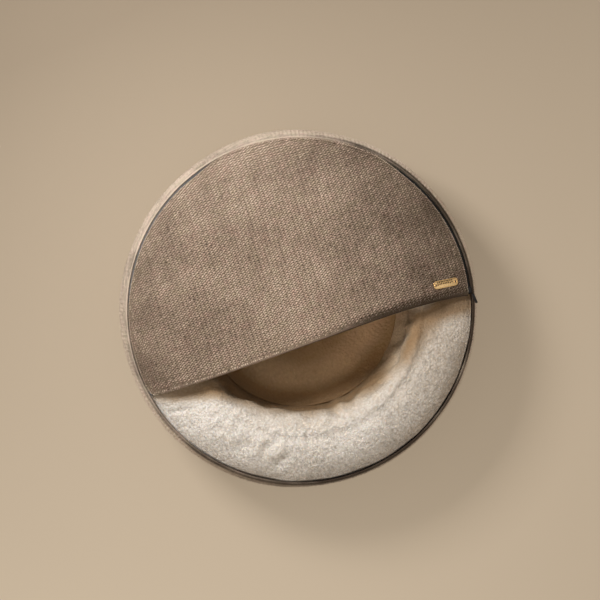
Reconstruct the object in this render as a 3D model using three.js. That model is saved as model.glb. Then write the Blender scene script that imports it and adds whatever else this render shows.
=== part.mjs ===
// Round pet bed. A bulging tweed shell holds a fleece bolster ring and a base cushion, and a domed
// half cover of the same tweed is zipped to the rim, so that the front of the bed stays open.
// Millimetres, +Z up. The origin is the middle of the base, +X runs along the cover's hem towards
// the label, and -Y points to the open front. Bearings are in degrees from +X, towards +Y.

import * as THREE from "three";

const { clamp, degToRad, lerp, smoothstep } = THREE.MathUtils;
const TURN = 2 * Math.PI;

// Shell
const CLOTH = 3;
const SEAM_GAP = 0.4;
const RIM_HEIGHT = 165;
const RIM_RADIUS = 284.5;
const FOOT_RADIUS = 270;
const WALL_BULGE = 22;
const WALL_LEVELS = [0, 0.06, 0.2, 0.35, 0.5, 0.65, 0.8, 0.94, 1];
const WALL_WAVES = [
  { waves: 2, phase: 40, depth: 1.2 },
  { waves: 5, phase: 15, depth: 0.8 },
  { waves: 9, phase: 70, depth: 0.5 },
];
const RING_STEPS = 80;

// Bolster ring: full in the open front, pressed lower under the cover
const OPEN_FROM = 0.21;
const OPEN_TO = 0.75;
const OPEN_EDGE = 164;
const COVERED_EDGE = 158.5;
const OPEN_CROWN = 28;
const COVERED_CROWN = 8;
const BAND_POWER = 2.2;
const BAND_SHARES = [0.12, 0.32, 0.55, 0.76, 0.92];
const CHANNEL_RADIUS = 208;
const CHANNEL_DEPTH = 3;
const ROLL_CENTRE = 196;
const ROLL_RADIUS = 175;
const ROLL_FULLNESS = 11;
const ROLL_FULLEST = 258;
const ROLL_SHARPNESS = 4;
const ROLL_DEPTH = 33;
const ROLL_RISE = 3;
const ROLL_TURNS = [70, 92, 114, 136, 158, 180, 205];
const WELL_WALL = [
  { height: 120, radius: 171 },
  { height: 94, radius: 166 },
  { height: 72, radius: 158.5 },
  { height: 50, radius: 153 },
];
const WELL_FOOT_RADIUS = 150;
const ROLL_WAVES = [
  { waves: 3, phase: 200, depth: 1.6 },
  { waves: 7, phase: 35, depth: 1.5 },
  { waves: 12, phase: 110, depth: 0.9 },
];
const CROWN_WAVES = [
  { waves: 1, phase: -65, depth: 5 },
  { waves: 4, phase: 80, depth: 1.1 },
  { waves: 9, phase: 10, depth: 0.8 },
];
const BOLSTER_DIMPLES = [
  { bearing: 203, radius: 247, width: 24, depth: 4 },
  { bearing: 218, radius: 236, width: 20, depth: 5 },
  { bearing: 230, radius: 240, width: 22, depth: 3 },
  { bearing: 241, radius: 226, width: 19, depth: 4 },
  { bearing: 277, radius: 162, width: 18, depth: -5 },
  { bearing: 292, radius: 238, width: 26, depth: 3 },
  { bearing: 313, radius: 168, width: 17, depth: 5 },
  { bearing: 327, radius: 170, width: 18, depth: 5 },
  { bearing: 337, radius: 190, width: 20, depth: 4 },
];

// Base cushion: section from its underside out to the shoulder and in to the dished middle
const CUSHION_SECTION = [
  { radius: 138, height: CLOTH + SEAM_GAP },
  { radius: 146, height: 11 },
  { radius: 149, height: 25 },
  { radius: 150.5, height: 40 },
  { radius: 149, height: 50 },
  { radius: 144, height: 59 },
  { radius: 135, height: 67 },
  { radius: 122, height: 72.5 },
  { radius: 104, height: 71.5 },
  { radius: 70, height: 64 },
  { radius: 35, height: 58.5 },
];
const CUSHION_MIDDLE = 57;
const CUSHION_WAVES = [
  { waves: 3, phase: 60, depth: 1.8 },
  { waves: 5, phase: 140, depth: 1.4 },
  { waves: 8, phase: 20, depth: 0.8 },
];

// Half cover
const COVER_RADIUS = 277.5;
const COVER_EDGE_RISE = 1.5;
const DOME_RISE = 45;
const DOME_POWER = 5;
const DOME_LEAN = 2;
const HEM_Y = -57;
const HEM_BOW = 11.5;
const HEM_BOW_SKEW = 2.4;
const HEM_BOW_POWER = 0.8;
const HEM_EXTRA = 1.5;
const HEM_WIDTH = 12;
const HEM_SAG = 5;
const HEM_SAG_REACH = 70;
const TUCK_DEPTH = 6;
const TUCK_REACH = 18;
const TUCK = { from: 0.6, full: 0.78, easing: 0.93, to: 1 };
const COVER_END = 8;
const COVER_STEPS = 48;
const COVER_ROWS = 14;
const COVER_ROW_POWER = 1.6;

// Zip, slider and pull
const ZIP_INNER = 278;
const ZIP_OUTER = 281;
const ZIP_TOP = 165.5;
const ZIP_THICKNESS = 3;
const ZIP_STEPS = 64;
const SLIDER = { bearing: -10.4, radius: 280, length: 10, width: 5.4, foot: 1.5, height: 3.6 };
const SLIDER_BRIDGE = 6;
const SLIDER_BASE = 167.1;
const PULL = { length: 17, width: 4.4, thickness: 1.2 };
const PULL_TOP_END = new THREE.Vector2(278.2, -58.2);
const PULL_HEADING = -84;
const PULL_BASE = RIM_HEIGHT + SEAM_GAP;
const TRIM_CURVE_STEPS = 8;

// Label plate, its length taken in plan
const LABEL = { x: 238.6, y: -28.6, heading: -7.2, length: 42, width: 12.4, thickness: 1.2 };
const LABEL_CORNER = 2.4;
const LABEL_STEPS = 14;
const LABEL_ROWS = 2;

const HALF_HEM = Math.sqrt(COVER_RADIUS ** 2 - HEM_Y ** 2);
const HEM_BEARING = Math.atan2(HEM_Y, HALF_HEM);

// Sum of the gentle waves of a table at one bearing.
function ripple(table, bearing) {
  const wave = (row) => row.depth * Math.sin(row.waves * bearing + degToRad(row.phase));
  return table.reduce((sum, row) => sum + wave(row), 0);
}

// Sweep a section around the Z axis; sectionAt gives the [radius, height] points at a bearing.
function revolve(sectionAt, steps) {
  const first = sectionAt(0).map(([radius, height]) => new THREE.Vector2(radius, height));
  const geometry = new THREE.LatheGeometry(first, steps);
  const { position } = geometry.attributes;
  for (let step = 0; step <= steps; step += 1) {
    const bearing = ((step % steps) / steps) * TURN;
    sectionAt(bearing).forEach(([radius, height], index) => {
      const vertex = step * first.length + index;
      position.setXYZ(vertex, radius * Math.cos(bearing), radius * Math.sin(bearing), height);
    });
  }
  return geometry;
}

// Bend a finely divided unit box; place turns its shares along, across and up into a point.
function bend(steps, rows, place) {
  const geometry = new THREE.BoxGeometry(1, 1, 1, steps, rows, 1).translate(0.5, 0.5, 0.5);
  const { position } = geometry.attributes;
  const share = new THREE.Vector3();
  for (let vertex = 0; vertex < position.count; vertex += 1) {
    share.fromBufferAttribute(position, vertex);
    position.setXYZ(vertex, ...place(share.x, share.y, share.z));
  }
  return geometry;
}

// Outer radius of the side wall at a height.
function wallRadius(height, bearing) {
  const share = height / RIM_HEIGHT;
  const swell = 4 * share * (1 - share);
  return lerp(FOOT_RADIUS, RIM_RADIUS, share) + swell * (WALL_BULGE + ripple(WALL_WAVES, bearing));
}

function wallSection(bearing) {
  const heights = WALL_LEVELS.map((share) => share * RIM_HEIGHT);
  const outer = heights.map((height) => [wallRadius(height, bearing), height]);
  const inner = outer.map(([radius, height]) => [radius - CLOTH, height]).reverse();
  return [...outer, ...inner, outer[0]];
}

function bottomSection() {
  const radius = FOOT_RADIUS - CLOTH - SEAM_GAP;
  return [[0, 0], [radius, 0], [radius, CLOTH], [0, CLOTH]];
}

// Share of the open front at a bearing: 0 under the cover, 1 well in front of its hem.
function openShare(bearing) {
  return smoothstep(-Math.sin(bearing), OPEN_FROM, OPEN_TO);
}

// How far the bolster's top is pressed down at a point.
function dimpleDepth(radius, bearing) {
  const point = new THREE.Vector2(radius * Math.cos(bearing), radius * Math.sin(bearing));
  const dip = (row) => {
    const angle = degToRad(row.bearing);
    const centre = new THREE.Vector2(row.radius * Math.cos(angle), row.radius * Math.sin(angle));
    return row.depth * Math.exp(-((point.distanceTo(centre) / row.width) ** 2));
  };
  return BOLSTER_DIMPLES.reduce((sum, row) => sum + dip(row), 0);
}

// Radius of the bolster's inner edge, fullest in the open front.
function rollRadius(bearing) {
  const facing = Math.max(0, Math.cos(bearing - degToRad(ROLL_FULLEST)));
  return ROLL_RADIUS - ROLL_FULLNESS * facing ** ROLL_SHARPNESS + ripple(ROLL_WAVES, bearing);
}

function bolsterSection(bearing) {
  const open = openShare(bearing);
  const floor = CLOTH + SEAM_GAP;
  const edge = lerp(COVERED_EDGE, OPEN_EDGE, open);
  const crown = RIM_HEIGHT + lerp(COVERED_CROWN, OPEN_CROWN, open) + ripple(CROWN_WAVES, bearing);
  const sideHeights = [floor, ...WALL_LEVELS.slice(1, -1).map((share) => share * RIM_HEIGHT), edge];
  const side = sideHeights.map((height) => [wallRadius(height, bearing) - CLOTH - SEAM_GAP, height]);
  const edgeRadius = side.at(-1)[0];
  const band = BAND_SHARES.map((share) => [
    lerp(edgeRadius, CHANNEL_RADIUS, share),
    lerp(edge, crown, 1 - (1 - share) ** BAND_POWER),
  ]);
  const halfRoll = ROLL_CENTRE - rollRadius(bearing);
  const roll = ROLL_TURNS.map(degToRad).map((angle) => [
    ROLL_CENTRE + halfRoll * Math.cos(angle),
    crown + ROLL_RISE + ROLL_DEPTH * (Math.sin(angle) - 1),
  ]);
  const top = [...band, [CHANNEL_RADIUS, crown - CHANNEL_DEPTH], ...roll];
  const dented = top.map(([radius, height]) => [radius, height - dimpleDepth(radius, bearing)]);
  const well = WELL_WALL.map(({ radius, height }) => [radius, height]);
  return [...side, ...dented, ...well, [WELL_FOOT_RADIUS, floor], side[0]];
}

function cushionSection(bearing) {
  const outline = CUSHION_SECTION.map(({ radius, height }, row) => {
    const lift = row === 0 ? 0 : ripple(CUSHION_WAVES, bearing) * (radius / WELL_FOOT_RADIUS);
    return [radius, height + lift];
  });
  return [[0, CUSHION_SECTION[0].height], ...outline, [0, CUSHION_MIDDLE]];
}

// The hem's place across the bed, at a share of its length from the left end.
function hemLine(share) {
  return HEM_Y + HEM_BOW * Math.sin(Math.PI * share ** HEM_BOW_SKEW) ** HEM_BOW_POWER;
}

// Share of the hem's length and distance behind the hem of a point of the cover.
function fromHem(x, y) {
  const share = clamp((x + HALF_HEM) / (2 * HALF_HEM), 0, 1);
  return { share, distance: Math.max(0, y - hemLine(share)) };
}

// Height of the cover's top face: a dome that is steeper at the right and sags to its hem.
function coverTop(x, y) {
  const power = DOME_POWER - DOME_LEAN * (x / COVER_RADIUS);
  const dome = DOME_RISE * (1 - (Math.hypot(x, y) / COVER_RADIUS) ** power);
  const { share, distance } = fromHem(x, y);
  const sag = HEM_SAG * Math.sin(Math.PI * share) * Math.exp(-distance / HEM_SAG_REACH);
  const tucked = smoothstep(share, TUCK.from, TUCK.full) - smoothstep(share, TUCK.easing, TUCK.to);
  const tuck = TUCK_DEPTH * tucked * clamp(1 - distance / TUCK_REACH, 0, 1) ** 2;
  return RIM_HEIGHT + COVER_EDGE_RISE + Math.max(0, dome) - sag - tuck;
}

function coverPoint(along, across, up) {
  const end = COVER_END / COVER_RADIUS;
  const bearing = lerp(Math.PI - HEM_BEARING - end, HEM_BEARING + end, along);
  const reach = across ** COVER_ROW_POWER;
  const x = lerp(lerp(-HALF_HEM, HALF_HEM, along), COVER_RADIUS * Math.cos(bearing), reach);
  const y = lerp(hemLine(along), COVER_RADIUS * Math.sin(bearing), reach);
  const doubled = 1 - smoothstep(fromHem(x, y).distance, HEM_WIDTH / 2, HEM_WIDTH);
  const thickness = CLOTH + HEM_EXTRA * doubled;
  return [x, y, coverTop(x, y) - thickness * (1 - up)];
}

function zipPoint(along, across, up) {
  const bearing = lerp(Math.PI - HEM_BEARING, HEM_BEARING, along);
  const radius = lerp(ZIP_INNER, ZIP_OUTER, across);
  return [radius * Math.cos(bearing), radius * Math.sin(bearing), ZIP_TOP - ZIP_THICKNESS * (1 - up)];
}

// A plate with round corners that follows the dome under it.
function labelPoint(along, across, up) {
  const inset = LABEL_CORNER - LABEL.length * Math.min(along, 1 - along);
  const narrowing = inset > 0 ? LABEL_CORNER - Math.sqrt(LABEL_CORNER ** 2 - inset ** 2) : 0;
  const heading = degToRad(LABEL.heading);
  const local = new THREE.Vector2(
    LABEL.length * (along - 0.5),
    (LABEL.width - 2 * narrowing) * (across - 0.5),
  ).rotateAround(new THREE.Vector2(), heading);
  const x = LABEL.x + local.x;
  const y = LABEL.y + local.y;
  return [x, y, coverTop(x, y) + SEAM_GAP + LABEL.thickness * up];
}

// The slider's side view: a low foot with a rounded bridge, as wide as the slider.
function sliderGeometry() {
  const half = SLIDER.length / 2;
  const outline = new THREE.Shape();
  outline.moveTo(-half, 0);
  outline.lineTo(half, 0);
  outline.lineTo(half, SLIDER.foot);
  outline.lineTo(SLIDER_BRIDGE / 2, SLIDER.foot);
  outline.bezierCurveTo(
    SLIDER_BRIDGE / 2, SLIDER.height, -SLIDER_BRIDGE / 2, SLIDER.height, -SLIDER_BRIDGE / 2, SLIDER.foot,
  );
  outline.lineTo(-half, SLIDER.foot);
  outline.closePath();
  const options = { depth: SLIDER.width, bevelEnabled: false, curveSegments: TRIM_CURVE_STEPS };
  return new THREE.ExtrudeGeometry(outline, options).translate(0, 0, -SLIDER.width / 2);
}

// A flat tab with a round free end, running along +X from the slider.
function pullGeometry() {
  const half = PULL.width / 2;
  const outline = new THREE.Shape();
  outline.moveTo(0, -half);
  outline.lineTo(PULL.length - half, -half);
  outline.absarc(PULL.length - half, 0, half, -Math.PI / 2, Math.PI / 2);
  outline.lineTo(0, half);
  outline.closePath();
  const options = { depth: PULL.thickness, bevelEnabled: false, curveSegments: TRIM_CURVE_STEPS };
  return new THREE.ExtrudeGeometry(outline, options);
}

function addPiece(group, name, geometry, material) {
  const mesh = new THREE.Mesh(geometry, material);
  mesh.name = name;
  group.add(mesh);
  return mesh;
}

const tweed = () => new THREE.MeshStandardMaterial({ color: 0x8f7a66, roughness: 0.95 });
const fleece = () => new THREE.MeshStandardMaterial({ color: 0xd8cab6, roughness: 1 });
const zipBlack = () => new THREE.MeshStandardMaterial({ color: 0x1d1b1a, roughness: 0.5 });
const brass = () => new THREE.MeshStandardMaterial({ color: 0xc79a4f, roughness: 0.3, metalness: 1 });

const bed = new THREE.Group();
addPiece(bed, "bottom_panel", revolve(bottomSection, RING_STEPS), tweed());
addPiece(bed, "side_wall", revolve(wallSection, RING_STEPS), tweed());
addPiece(bed, "bolster", revolve(bolsterSection, RING_STEPS), fleece());
addPiece(bed, "base_cushion", revolve(cushionSection, RING_STEPS), fleece());
addPiece(bed, "cover", bend(COVER_STEPS, COVER_ROWS, coverPoint), tweed());
addPiece(bed, "zip", bend(ZIP_STEPS, 1, zipPoint), zipBlack());
addPiece(bed, "label_plate", bend(LABEL_STEPS, LABEL_ROWS, labelPoint), brass());

const sliderBearing = degToRad(SLIDER.bearing);
const slider = addPiece(bed, "zip_slider", sliderGeometry(), zipBlack());
slider.position.set(
  SLIDER.radius * Math.cos(sliderBearing), SLIDER.radius * Math.sin(sliderBearing), SLIDER_BASE,
);
slider.rotation.set(Math.PI / 2, sliderBearing + Math.PI / 2, 0);

const pull = addPiece(bed, "zip_pull", pullGeometry(), zipBlack());
pull.position.set(PULL_TOP_END.x, PULL_TOP_END.y, PULL_BASE);
pull.rotation.z = degToRad(PULL_HEADING);

export default bed;
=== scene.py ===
"""Looks of a round pet bed: tweed shell and half cover, fleece ring and cushion, zip and plate.

Metres, +Z up, in the part's own frame: +X runs along the cover's hem towards the plate and -Y
points to the open front. Bearings are measured from +X towards +Y.
"""

import json
import logging
import math
from dataclasses import dataclass, field, replace
from enum import Enum
from typing import Optional, Sequence

import bpy
import numpy as np
from mathutils import Matrix, Vector


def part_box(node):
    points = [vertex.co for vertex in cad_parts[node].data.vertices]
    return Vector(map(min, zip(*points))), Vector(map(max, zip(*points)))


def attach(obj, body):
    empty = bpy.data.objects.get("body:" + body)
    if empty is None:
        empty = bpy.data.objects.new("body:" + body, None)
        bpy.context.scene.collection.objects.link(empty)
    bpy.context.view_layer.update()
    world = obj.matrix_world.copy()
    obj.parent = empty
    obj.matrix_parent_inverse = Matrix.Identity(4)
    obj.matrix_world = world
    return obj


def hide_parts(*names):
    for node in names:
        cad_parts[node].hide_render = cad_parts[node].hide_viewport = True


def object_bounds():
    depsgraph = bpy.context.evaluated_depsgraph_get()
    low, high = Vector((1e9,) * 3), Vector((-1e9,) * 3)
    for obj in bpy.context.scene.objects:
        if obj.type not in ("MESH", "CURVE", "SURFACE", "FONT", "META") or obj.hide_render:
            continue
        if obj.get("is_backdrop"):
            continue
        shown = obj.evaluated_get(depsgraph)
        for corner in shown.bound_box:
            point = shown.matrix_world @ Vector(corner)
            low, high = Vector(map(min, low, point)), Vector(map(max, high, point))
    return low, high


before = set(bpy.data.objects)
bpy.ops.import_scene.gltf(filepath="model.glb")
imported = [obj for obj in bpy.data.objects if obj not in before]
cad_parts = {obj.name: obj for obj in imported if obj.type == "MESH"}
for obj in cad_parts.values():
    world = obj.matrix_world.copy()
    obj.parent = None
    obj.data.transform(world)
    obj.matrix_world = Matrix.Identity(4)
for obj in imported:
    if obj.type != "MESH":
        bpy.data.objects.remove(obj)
CAD_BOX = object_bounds()
BODY = "root"
MM = 0.001
SLOPE_STEP = 0.5 * MM
UP = np.array([0.0, 0.0, 1.0])
FOLD_TURNS = np.radians([30, 60, 90, 120, 150])
LOG = logging.getLogger("pet_bed")

Array = np.ndarray
Piece = bpy.types.Object
Material = bpy.types.Material
Socket = bpy.types.NodeSocket
Tree = bpy.types.NodeTree
Pair = tuple[float, float]
Triple = tuple[float, float, float]
Table = tuple[Pair, ...]
Shape = tuple[Array, list[Array]]


class Slot(Enum):
    """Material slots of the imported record."""

    TWEED = "tweed"
    FLEECE = "fleece"
    ZIP = "zip"
    BRASS = "brass"


@dataclass(frozen=True)
class Wave:
    """One gentle wave round the bed: how many to a turn, its start in degrees and its depth."""

    waves: int
    phase: float
    depth: float


def ripple(table: Sequence[Wave], bearing: Array) -> Array:
    """Summed depth of the waves of a table, at bearings in radians."""
    return sum(w.depth * np.sin(w.waves * bearing + math.radians(w.phase)) for w in table)


def look_up(table: Table, at: Array, period: Optional[float] = None) -> Array:
    """Read a table of places and values, in straight lines between its rows."""
    places, values = np.array(table).T
    return np.interp(at, places, values, period=period)


def smoothstep(value: Array, low: float, high: float) -> Array:
    """Ease from 0 at low to 1 at high."""
    share = np.clip((value - low) / (high - low), 0.0, 1.0)
    return share * share * (3.0 - 2.0 * share)


def lerp(start: Array, end: Array, share: Array) -> Array:
    """Blend from start to end."""
    return start + (end - start) * share


def speckle(points: Array, scale: float, seed: int, waves: int = 28) -> Array:
    """Smooth random field made of plane waves, about -1 to 1.

    Args:
        points: Places, the last axis holding x, y and z.
        scale: Typical size of a lump.
        seed: Picks the field.
        waves: How many plane waves are added.

    Returns:
        One value for each place.
    """
    random = np.random.default_rng(seed)
    heading = random.normal(size=(waves, 3))
    heading /= np.linalg.norm(heading, axis=1, keepdims=True)
    pitch = scale * random.uniform(1.4, 2.8, waves)
    phase = random.uniform(0.0, math.tau, waves)
    total = np.zeros(points.shape[:-1])
    for direction, length, start in zip(heading, pitch, phase):
        total += np.sin(points @ direction * (math.tau / length) + start)
    return total / math.sqrt(waves)


@dataclass(frozen=True)
class Lumps:
    """Random lumps of one size: how deep they are, how wide, and the seed that picks them."""

    depth: float
    size: float
    seed: int

    def at(self, points: Array) -> Array:
        """Height of the lumps at some places."""
        return self.depth * speckle(points, self.size, self.seed)


def unit(vectors: Array) -> Array:
    """Scale vectors along the last axis to length 1."""
    return vectors / np.maximum(np.linalg.norm(vectors, axis=-1, keepdims=True), 1e-12)


def lay_on(direction: Array, normal: Array) -> Array:
    """Turn directions into the plane of a surface with the given normals, at length 1."""
    return unit(direction - normal * np.sum(direction * normal, axis=-1, keepdims=True))


def slanted(angle: Array, heading: Array, across: Array) -> Array:
    """Directions at angles from one direction towards another."""
    return np.cos(angle)[:, None] * heading + np.sin(angle)[:, None] * across


def polar(radius: Array, bearing: Array, height: Array) -> Array:
    """Points from radius, bearing and height, as x, y, z."""
    parts = np.broadcast_arrays(radius * np.cos(bearing), radius * np.sin(bearing), height)
    return np.stack(parts, axis=-1)


def full_turn(count: int) -> Array:
    """Evenly spaced bearings round one turn."""
    return np.linspace(0, math.tau, count, endpoint=False)


def outward_from(bearing: Array) -> Array:
    """Level unit directions at the given bearings."""
    return polar(np.ones_like(bearing), bearing, 0 * bearing)


def bearing_of(points: Array) -> Array:
    """Bearings of points."""
    return np.arctan2(points[..., 1], points[..., 0])


def radius_of(points: Array) -> Array:
    """Distances of points from the bed's axis."""
    return np.hypot(points[..., 0], points[..., 1])


def grid_normals(points: Array, wrap_rows: bool, wrap_cols: bool) -> Array:
    """Unit normals of a grid of points, from its neighbours.

    Args:
        points: Rows by columns by 3.
        wrap_rows, wrap_cols: Whether the last row or column meets the first.

    Returns:
        One normal for each point, along rows cross columns.
    """
    def slope(axis: int, wrap: bool) -> Array:
        """Difference between the neighbours on both sides."""
        if wrap:
            return np.roll(points, -1, axis) - np.roll(points, 1, axis)
        return np.gradient(points, axis=axis)

    return unit(np.cross(slope(1, wrap_cols), slope(0, wrap_rows)))


def grid_faces(rows: int, cols: int, wrap_rows: bool, wrap_cols: bool) -> Array:
    """Quads between the points of a grid.

    Args:
        rows: Number of rows.
        cols: Number of columns.
        wrap_rows, wrap_cols: Whether the last row or column meets the first.

    Returns:
        Four point indices for each quad.
    """
    row, col = np.meshgrid(
        np.arange(rows if wrap_rows else rows - 1),
        np.arange(cols if wrap_cols else cols - 1),
        indexing="ij",
    )
    next_row = (row + 1) % rows
    next_col = (col + 1) % cols
    corners = (row * cols + col, row * cols + next_col, next_row * cols + next_col, next_row * cols + col)
    return np.stack(corners, axis=-1).reshape(-1, 4)


def closed_stack(rings: Array, low: float, high: float) -> Shape:
    """Close a stack of rings with a fan at each end.

    Args:
        rings: Rows by bearings by 3.
        low: Height of the first fan's middle.
        high: Height of the last fan's middle.

    Returns:
        Points, the two middles last, and faces.
    """
    rows, cols = rings.shape[:2]
    ring = np.arange(cols)
    after = (ring + 1) % cols
    middle = rows * cols
    last = middle - cols
    under = np.stack([np.full(cols, middle), after, ring], axis=-1)
    over = np.stack([np.full(cols, middle + 1), last + ring, last + after], axis=-1)
    points = np.concatenate([rings.reshape(-1, 3), [low * UP, high * UP]])
    return points, [grid_faces(rows, cols, False, True), under, over]


def mesh_piece(
    name: str,
    points: Array,
    faces: Sequence[Array],
    finish: Material,
    slot: Slot,
    tone: Optional[Array] = None,
    normals: Optional[Array] = None,
    warmth: Optional[Array] = None,
) -> Piece:
    """Make a smooth mesh that rides on the bed.

    Args:
        name: Name of the piece.
        points: Its points, n by 3.
        faces: Arrays of faces, each with its own number of corners.
        finish: Its material.
        slot: The record's slot for it; not used.
        tone: A value for each point, kept as the attribute "tone".
        normals: Shading normals for the points, where they aren't the mesh's own.
        warmth: A value for each point, kept as the attribute "warmth".

    Returns:
        The new object.
    """
    mesh = bpy.data.meshes.new(name)
    mesh.vertices.add(len(points))
    mesh.vertices.foreach_set("co", np.ascontiguousarray(points, np.float32).ravel())
    corners = np.concatenate([block.ravel() for block in faces]).astype(np.int32)
    totals = np.concatenate([np.full(len(block), block.shape[1]) for block in faces]).astype(np.int32)
    starts = np.concatenate(([0], np.cumsum(totals)[:-1])).astype(np.int32)
    mesh.loops.add(len(corners))
    mesh.loops.foreach_set("vertex_index", corners)
    mesh.polygons.add(len(totals))
    mesh.polygons.foreach_set("loop_start", starts)
    mesh.polygons.foreach_set("loop_total", totals)
    mesh.update(calc_edges=True)
    mesh.shade_smooth()
    for label, values in (("tone", tone), ("warmth", warmth)):
        if values is not None:
            kept = mesh.attributes.new(label, "FLOAT", "POINT")
            kept.data.foreach_set("value", values.astype(np.float32))
    if normals is not None:
        mesh.normals_split_custom_set_from_vertices(normals)
    mesh.materials.append(finish)
    piece = bpy.data.objects.new(name, mesh)
    bpy.context.scene.collection.objects.link(piece)
    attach(piece, BODY)
    LOG.info("%s: %d points, %d faces", name, len(points), len(totals))
    return piece


def scatter(points: Array, normals: Array, weight: Array, count: int, seed: int) -> tuple[Array, Array]:
    """Spread places over a grid surface.

    Args:
        points: Rows by columns by 3.
        normals: A normal for each point.
        weight: Share of the full density wanted at each point.
        count: How many places.
        seed: Picks the places.

    Returns:
        The places and the normals there.
    """
    random = np.random.default_rng(seed)
    corner = [points[:-1, :-1], points[:-1, 1:], points[1:, 1:], points[1:, :-1]]
    area = np.linalg.norm(np.cross(corner[2] - corner[0], corner[3] - corner[1]), axis=-1) / 2
    chance = (area * weight[:-1, :-1]).ravel()
    cell = random.choice(chance.size, count, p=chance / chance.sum())
    row, col = np.divmod(cell, area.shape[1])
    down, over = random.random((2, count, 1))

    def blend(values: Array) -> Array:
        """Value inside the chosen cells."""
        first = lerp(values[row, col], values[row, col + 1], over)
        return lerp(first, lerp(values[row + 1, col], values[row + 1, col + 1], over), down)

    return blend(points), unit(blend(normals))


def spikes(roots: Array, along: Array, radius: Array, seed: int) -> Shape:
    """Closed three-sided tapering strands.

    Args:
        roots: Where each strand starts.
        along: From root to tip.
        radius: Half the width at the root.
        seed: Turns the strands about themselves.

    Returns:
        Points, four to a strand with the tip last, and faces.
    """
    random = np.random.default_rng(seed)
    axis = unit(along)
    helper = np.where(np.abs(axis[:, 2:]) < 0.8, UP, np.array([1.0, 0.0, 0.0]))
    side = unit(np.cross(axis, helper))
    other = np.cross(axis, side)
    turn = random.uniform(0.0, math.tau, len(roots))
    ring = []
    for corner in range(3):
        ring.append(roots + radius[:, None] * slanted(turn + corner * math.tau / 3, side, other))
    points = np.stack([*ring, roots + along], axis=1).reshape(-1, 3)
    faces = np.array([(0, 1, 3), (1, 2, 3), (2, 0, 3), (0, 2, 1)])
    return points, [(np.arange(len(roots))[:, None, None] * 4 + faces).reshape(-1, 3)]


@dataclass(frozen=True)
class Hairs:
    """Stray hairs of a cloth."""

    count: int
    length: float
    radius: float
    root_height: float
    upright: float
    seed: int
    stray: float = 0.9
    lengths: Pair = (0.5, 1.2)

    def grow(self, points: Array, normals: Array, weight: Array) -> Shape:
        """Grow the hairs on a grid surface.

        Args:
            points: Rows by columns by 3.
            normals: A normal for each point.
            weight: Share of the full density wanted at each point.

        Returns:
            Points and faces.
        """
        random = np.random.default_rng(self.seed)
        roots, normal = scatter(points, normals, weight, self.count, self.seed + 1)
        lean = unit(normal * self.upright + self.stray * random.normal(size=normal.shape))
        length = self.length * random.uniform(*self.lengths, (self.count, 1))
        radius = np.full(self.count, self.radius)
        return spikes(roots + normal * self.root_height, lean * length, radius, self.seed + 2)


@dataclass(frozen=True)
class YarnFloat:
    """A short rounded length of yarn that lies on the cloth."""

    length: float
    width: float
    height: float
    # Sections between its ends, and the share of its height that its sides lie below the cloth's face.
    stations: int = 3
    sunk: float = 0.25

    def spread(self, values: Array) -> Array:
        """Repeat the value of each copy for all its points."""
        return np.repeat(values, 3 * self.stations + 2)

    def lay(self, centres: Array, along: Array, normals: Array, scale: Array) -> Shape:
        """Place copies of the yarn.

        Args:
            centres: Where the middles are.
            along: Unit directions of the yarns.
            normals: Unit normals of the cloth.
            scale: Size of each copy.

        Returns:
            Points and faces.
        """
        share = np.linspace(-1.0, 1.0, self.stations + 2)[1:-1]
        swell = np.sqrt(1.0 - share**2)
        left = np.cross(normals, along)
        reach = (scale * self.length / 2)[:, None]
        half = (scale * self.width / 2)[:, None]
        lift = (scale * self.height)[:, None]
        sunk = normals * (self.sunk * self.height)
        points = [centres - along * reach - sunk]
        for at, wide in zip(share, swell):
            middle = centres + along * reach * at
            points += [
                middle + left * half * wide - sunk,
                middle + normals * lift * wide,
                middle - left * half * wide - sunk,
            ]
        points.append(centres + along * reach - sunk)
        last = 3 * self.stations + 1
        ends = [(0, 2, 1), (0, 3, 2), (0, 1, 3)]
        ends += [(last, last - 3, last - 2), (last, last - 2, last - 1), (last, last - 1, last - 3)]
        sides = []
        for first in range(1, last - 3, 3):
            sides += [
                (first, first + 1, first + 4, first + 3),
                (first + 1, first + 2, first + 5, first + 4),
                (first, first + 3, first + 5, first + 2),
            ]
        offset = np.arange(len(centres))[:, None, None] * (last + 1)
        blocks = [(offset + np.array(block)).reshape(-1, len(block[0])) for block in (ends, sides) if block]
        return np.stack(points, axis=1).reshape(-1, 3), blocks


EDGE_YARN = YarnFloat(5.6 * MM, 2.3 * MM, 0.4 * MM, 2)


@dataclass(frozen=True)
class EdgeRow:
    """A row of short yarns along an edge of the cloth. Slants are in degrees, sizes are shares."""

    yarn: YarnFloat
    pitch: float
    slant: float
    slant_spread: float
    sizes: Pair
    smallest: float = 0.12

    def lay(
        self, centres: Array, heading: Array, outward: Array, tip: float, random: np.random.Generator,
        shrink: Array | float = 1.0,
    ) -> Shape:
        """Place the row.

        Args:
            centres: Middles of the yarns.
            heading: Unit directions along the edge.
            outward: Level unit directions away from the cloth.
            tip: How far the row faces outward instead of up.
            random: Where the small irregularities come from.
            shrink: Share to shrink each yarn by.

        Returns:
            Points and faces.
        """
        normal = unit(outward * tip + UP)
        slant = np.radians(self.slant + random.normal(0, self.slant_spread, len(centres)))
        direction = slanted(slant, heading, np.cross(normal, heading))
        size = np.maximum(random.uniform(*self.sizes, len(centres)) * shrink, self.smallest)
        return self.yarn.lay(centres, direction, normal, size)


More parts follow.
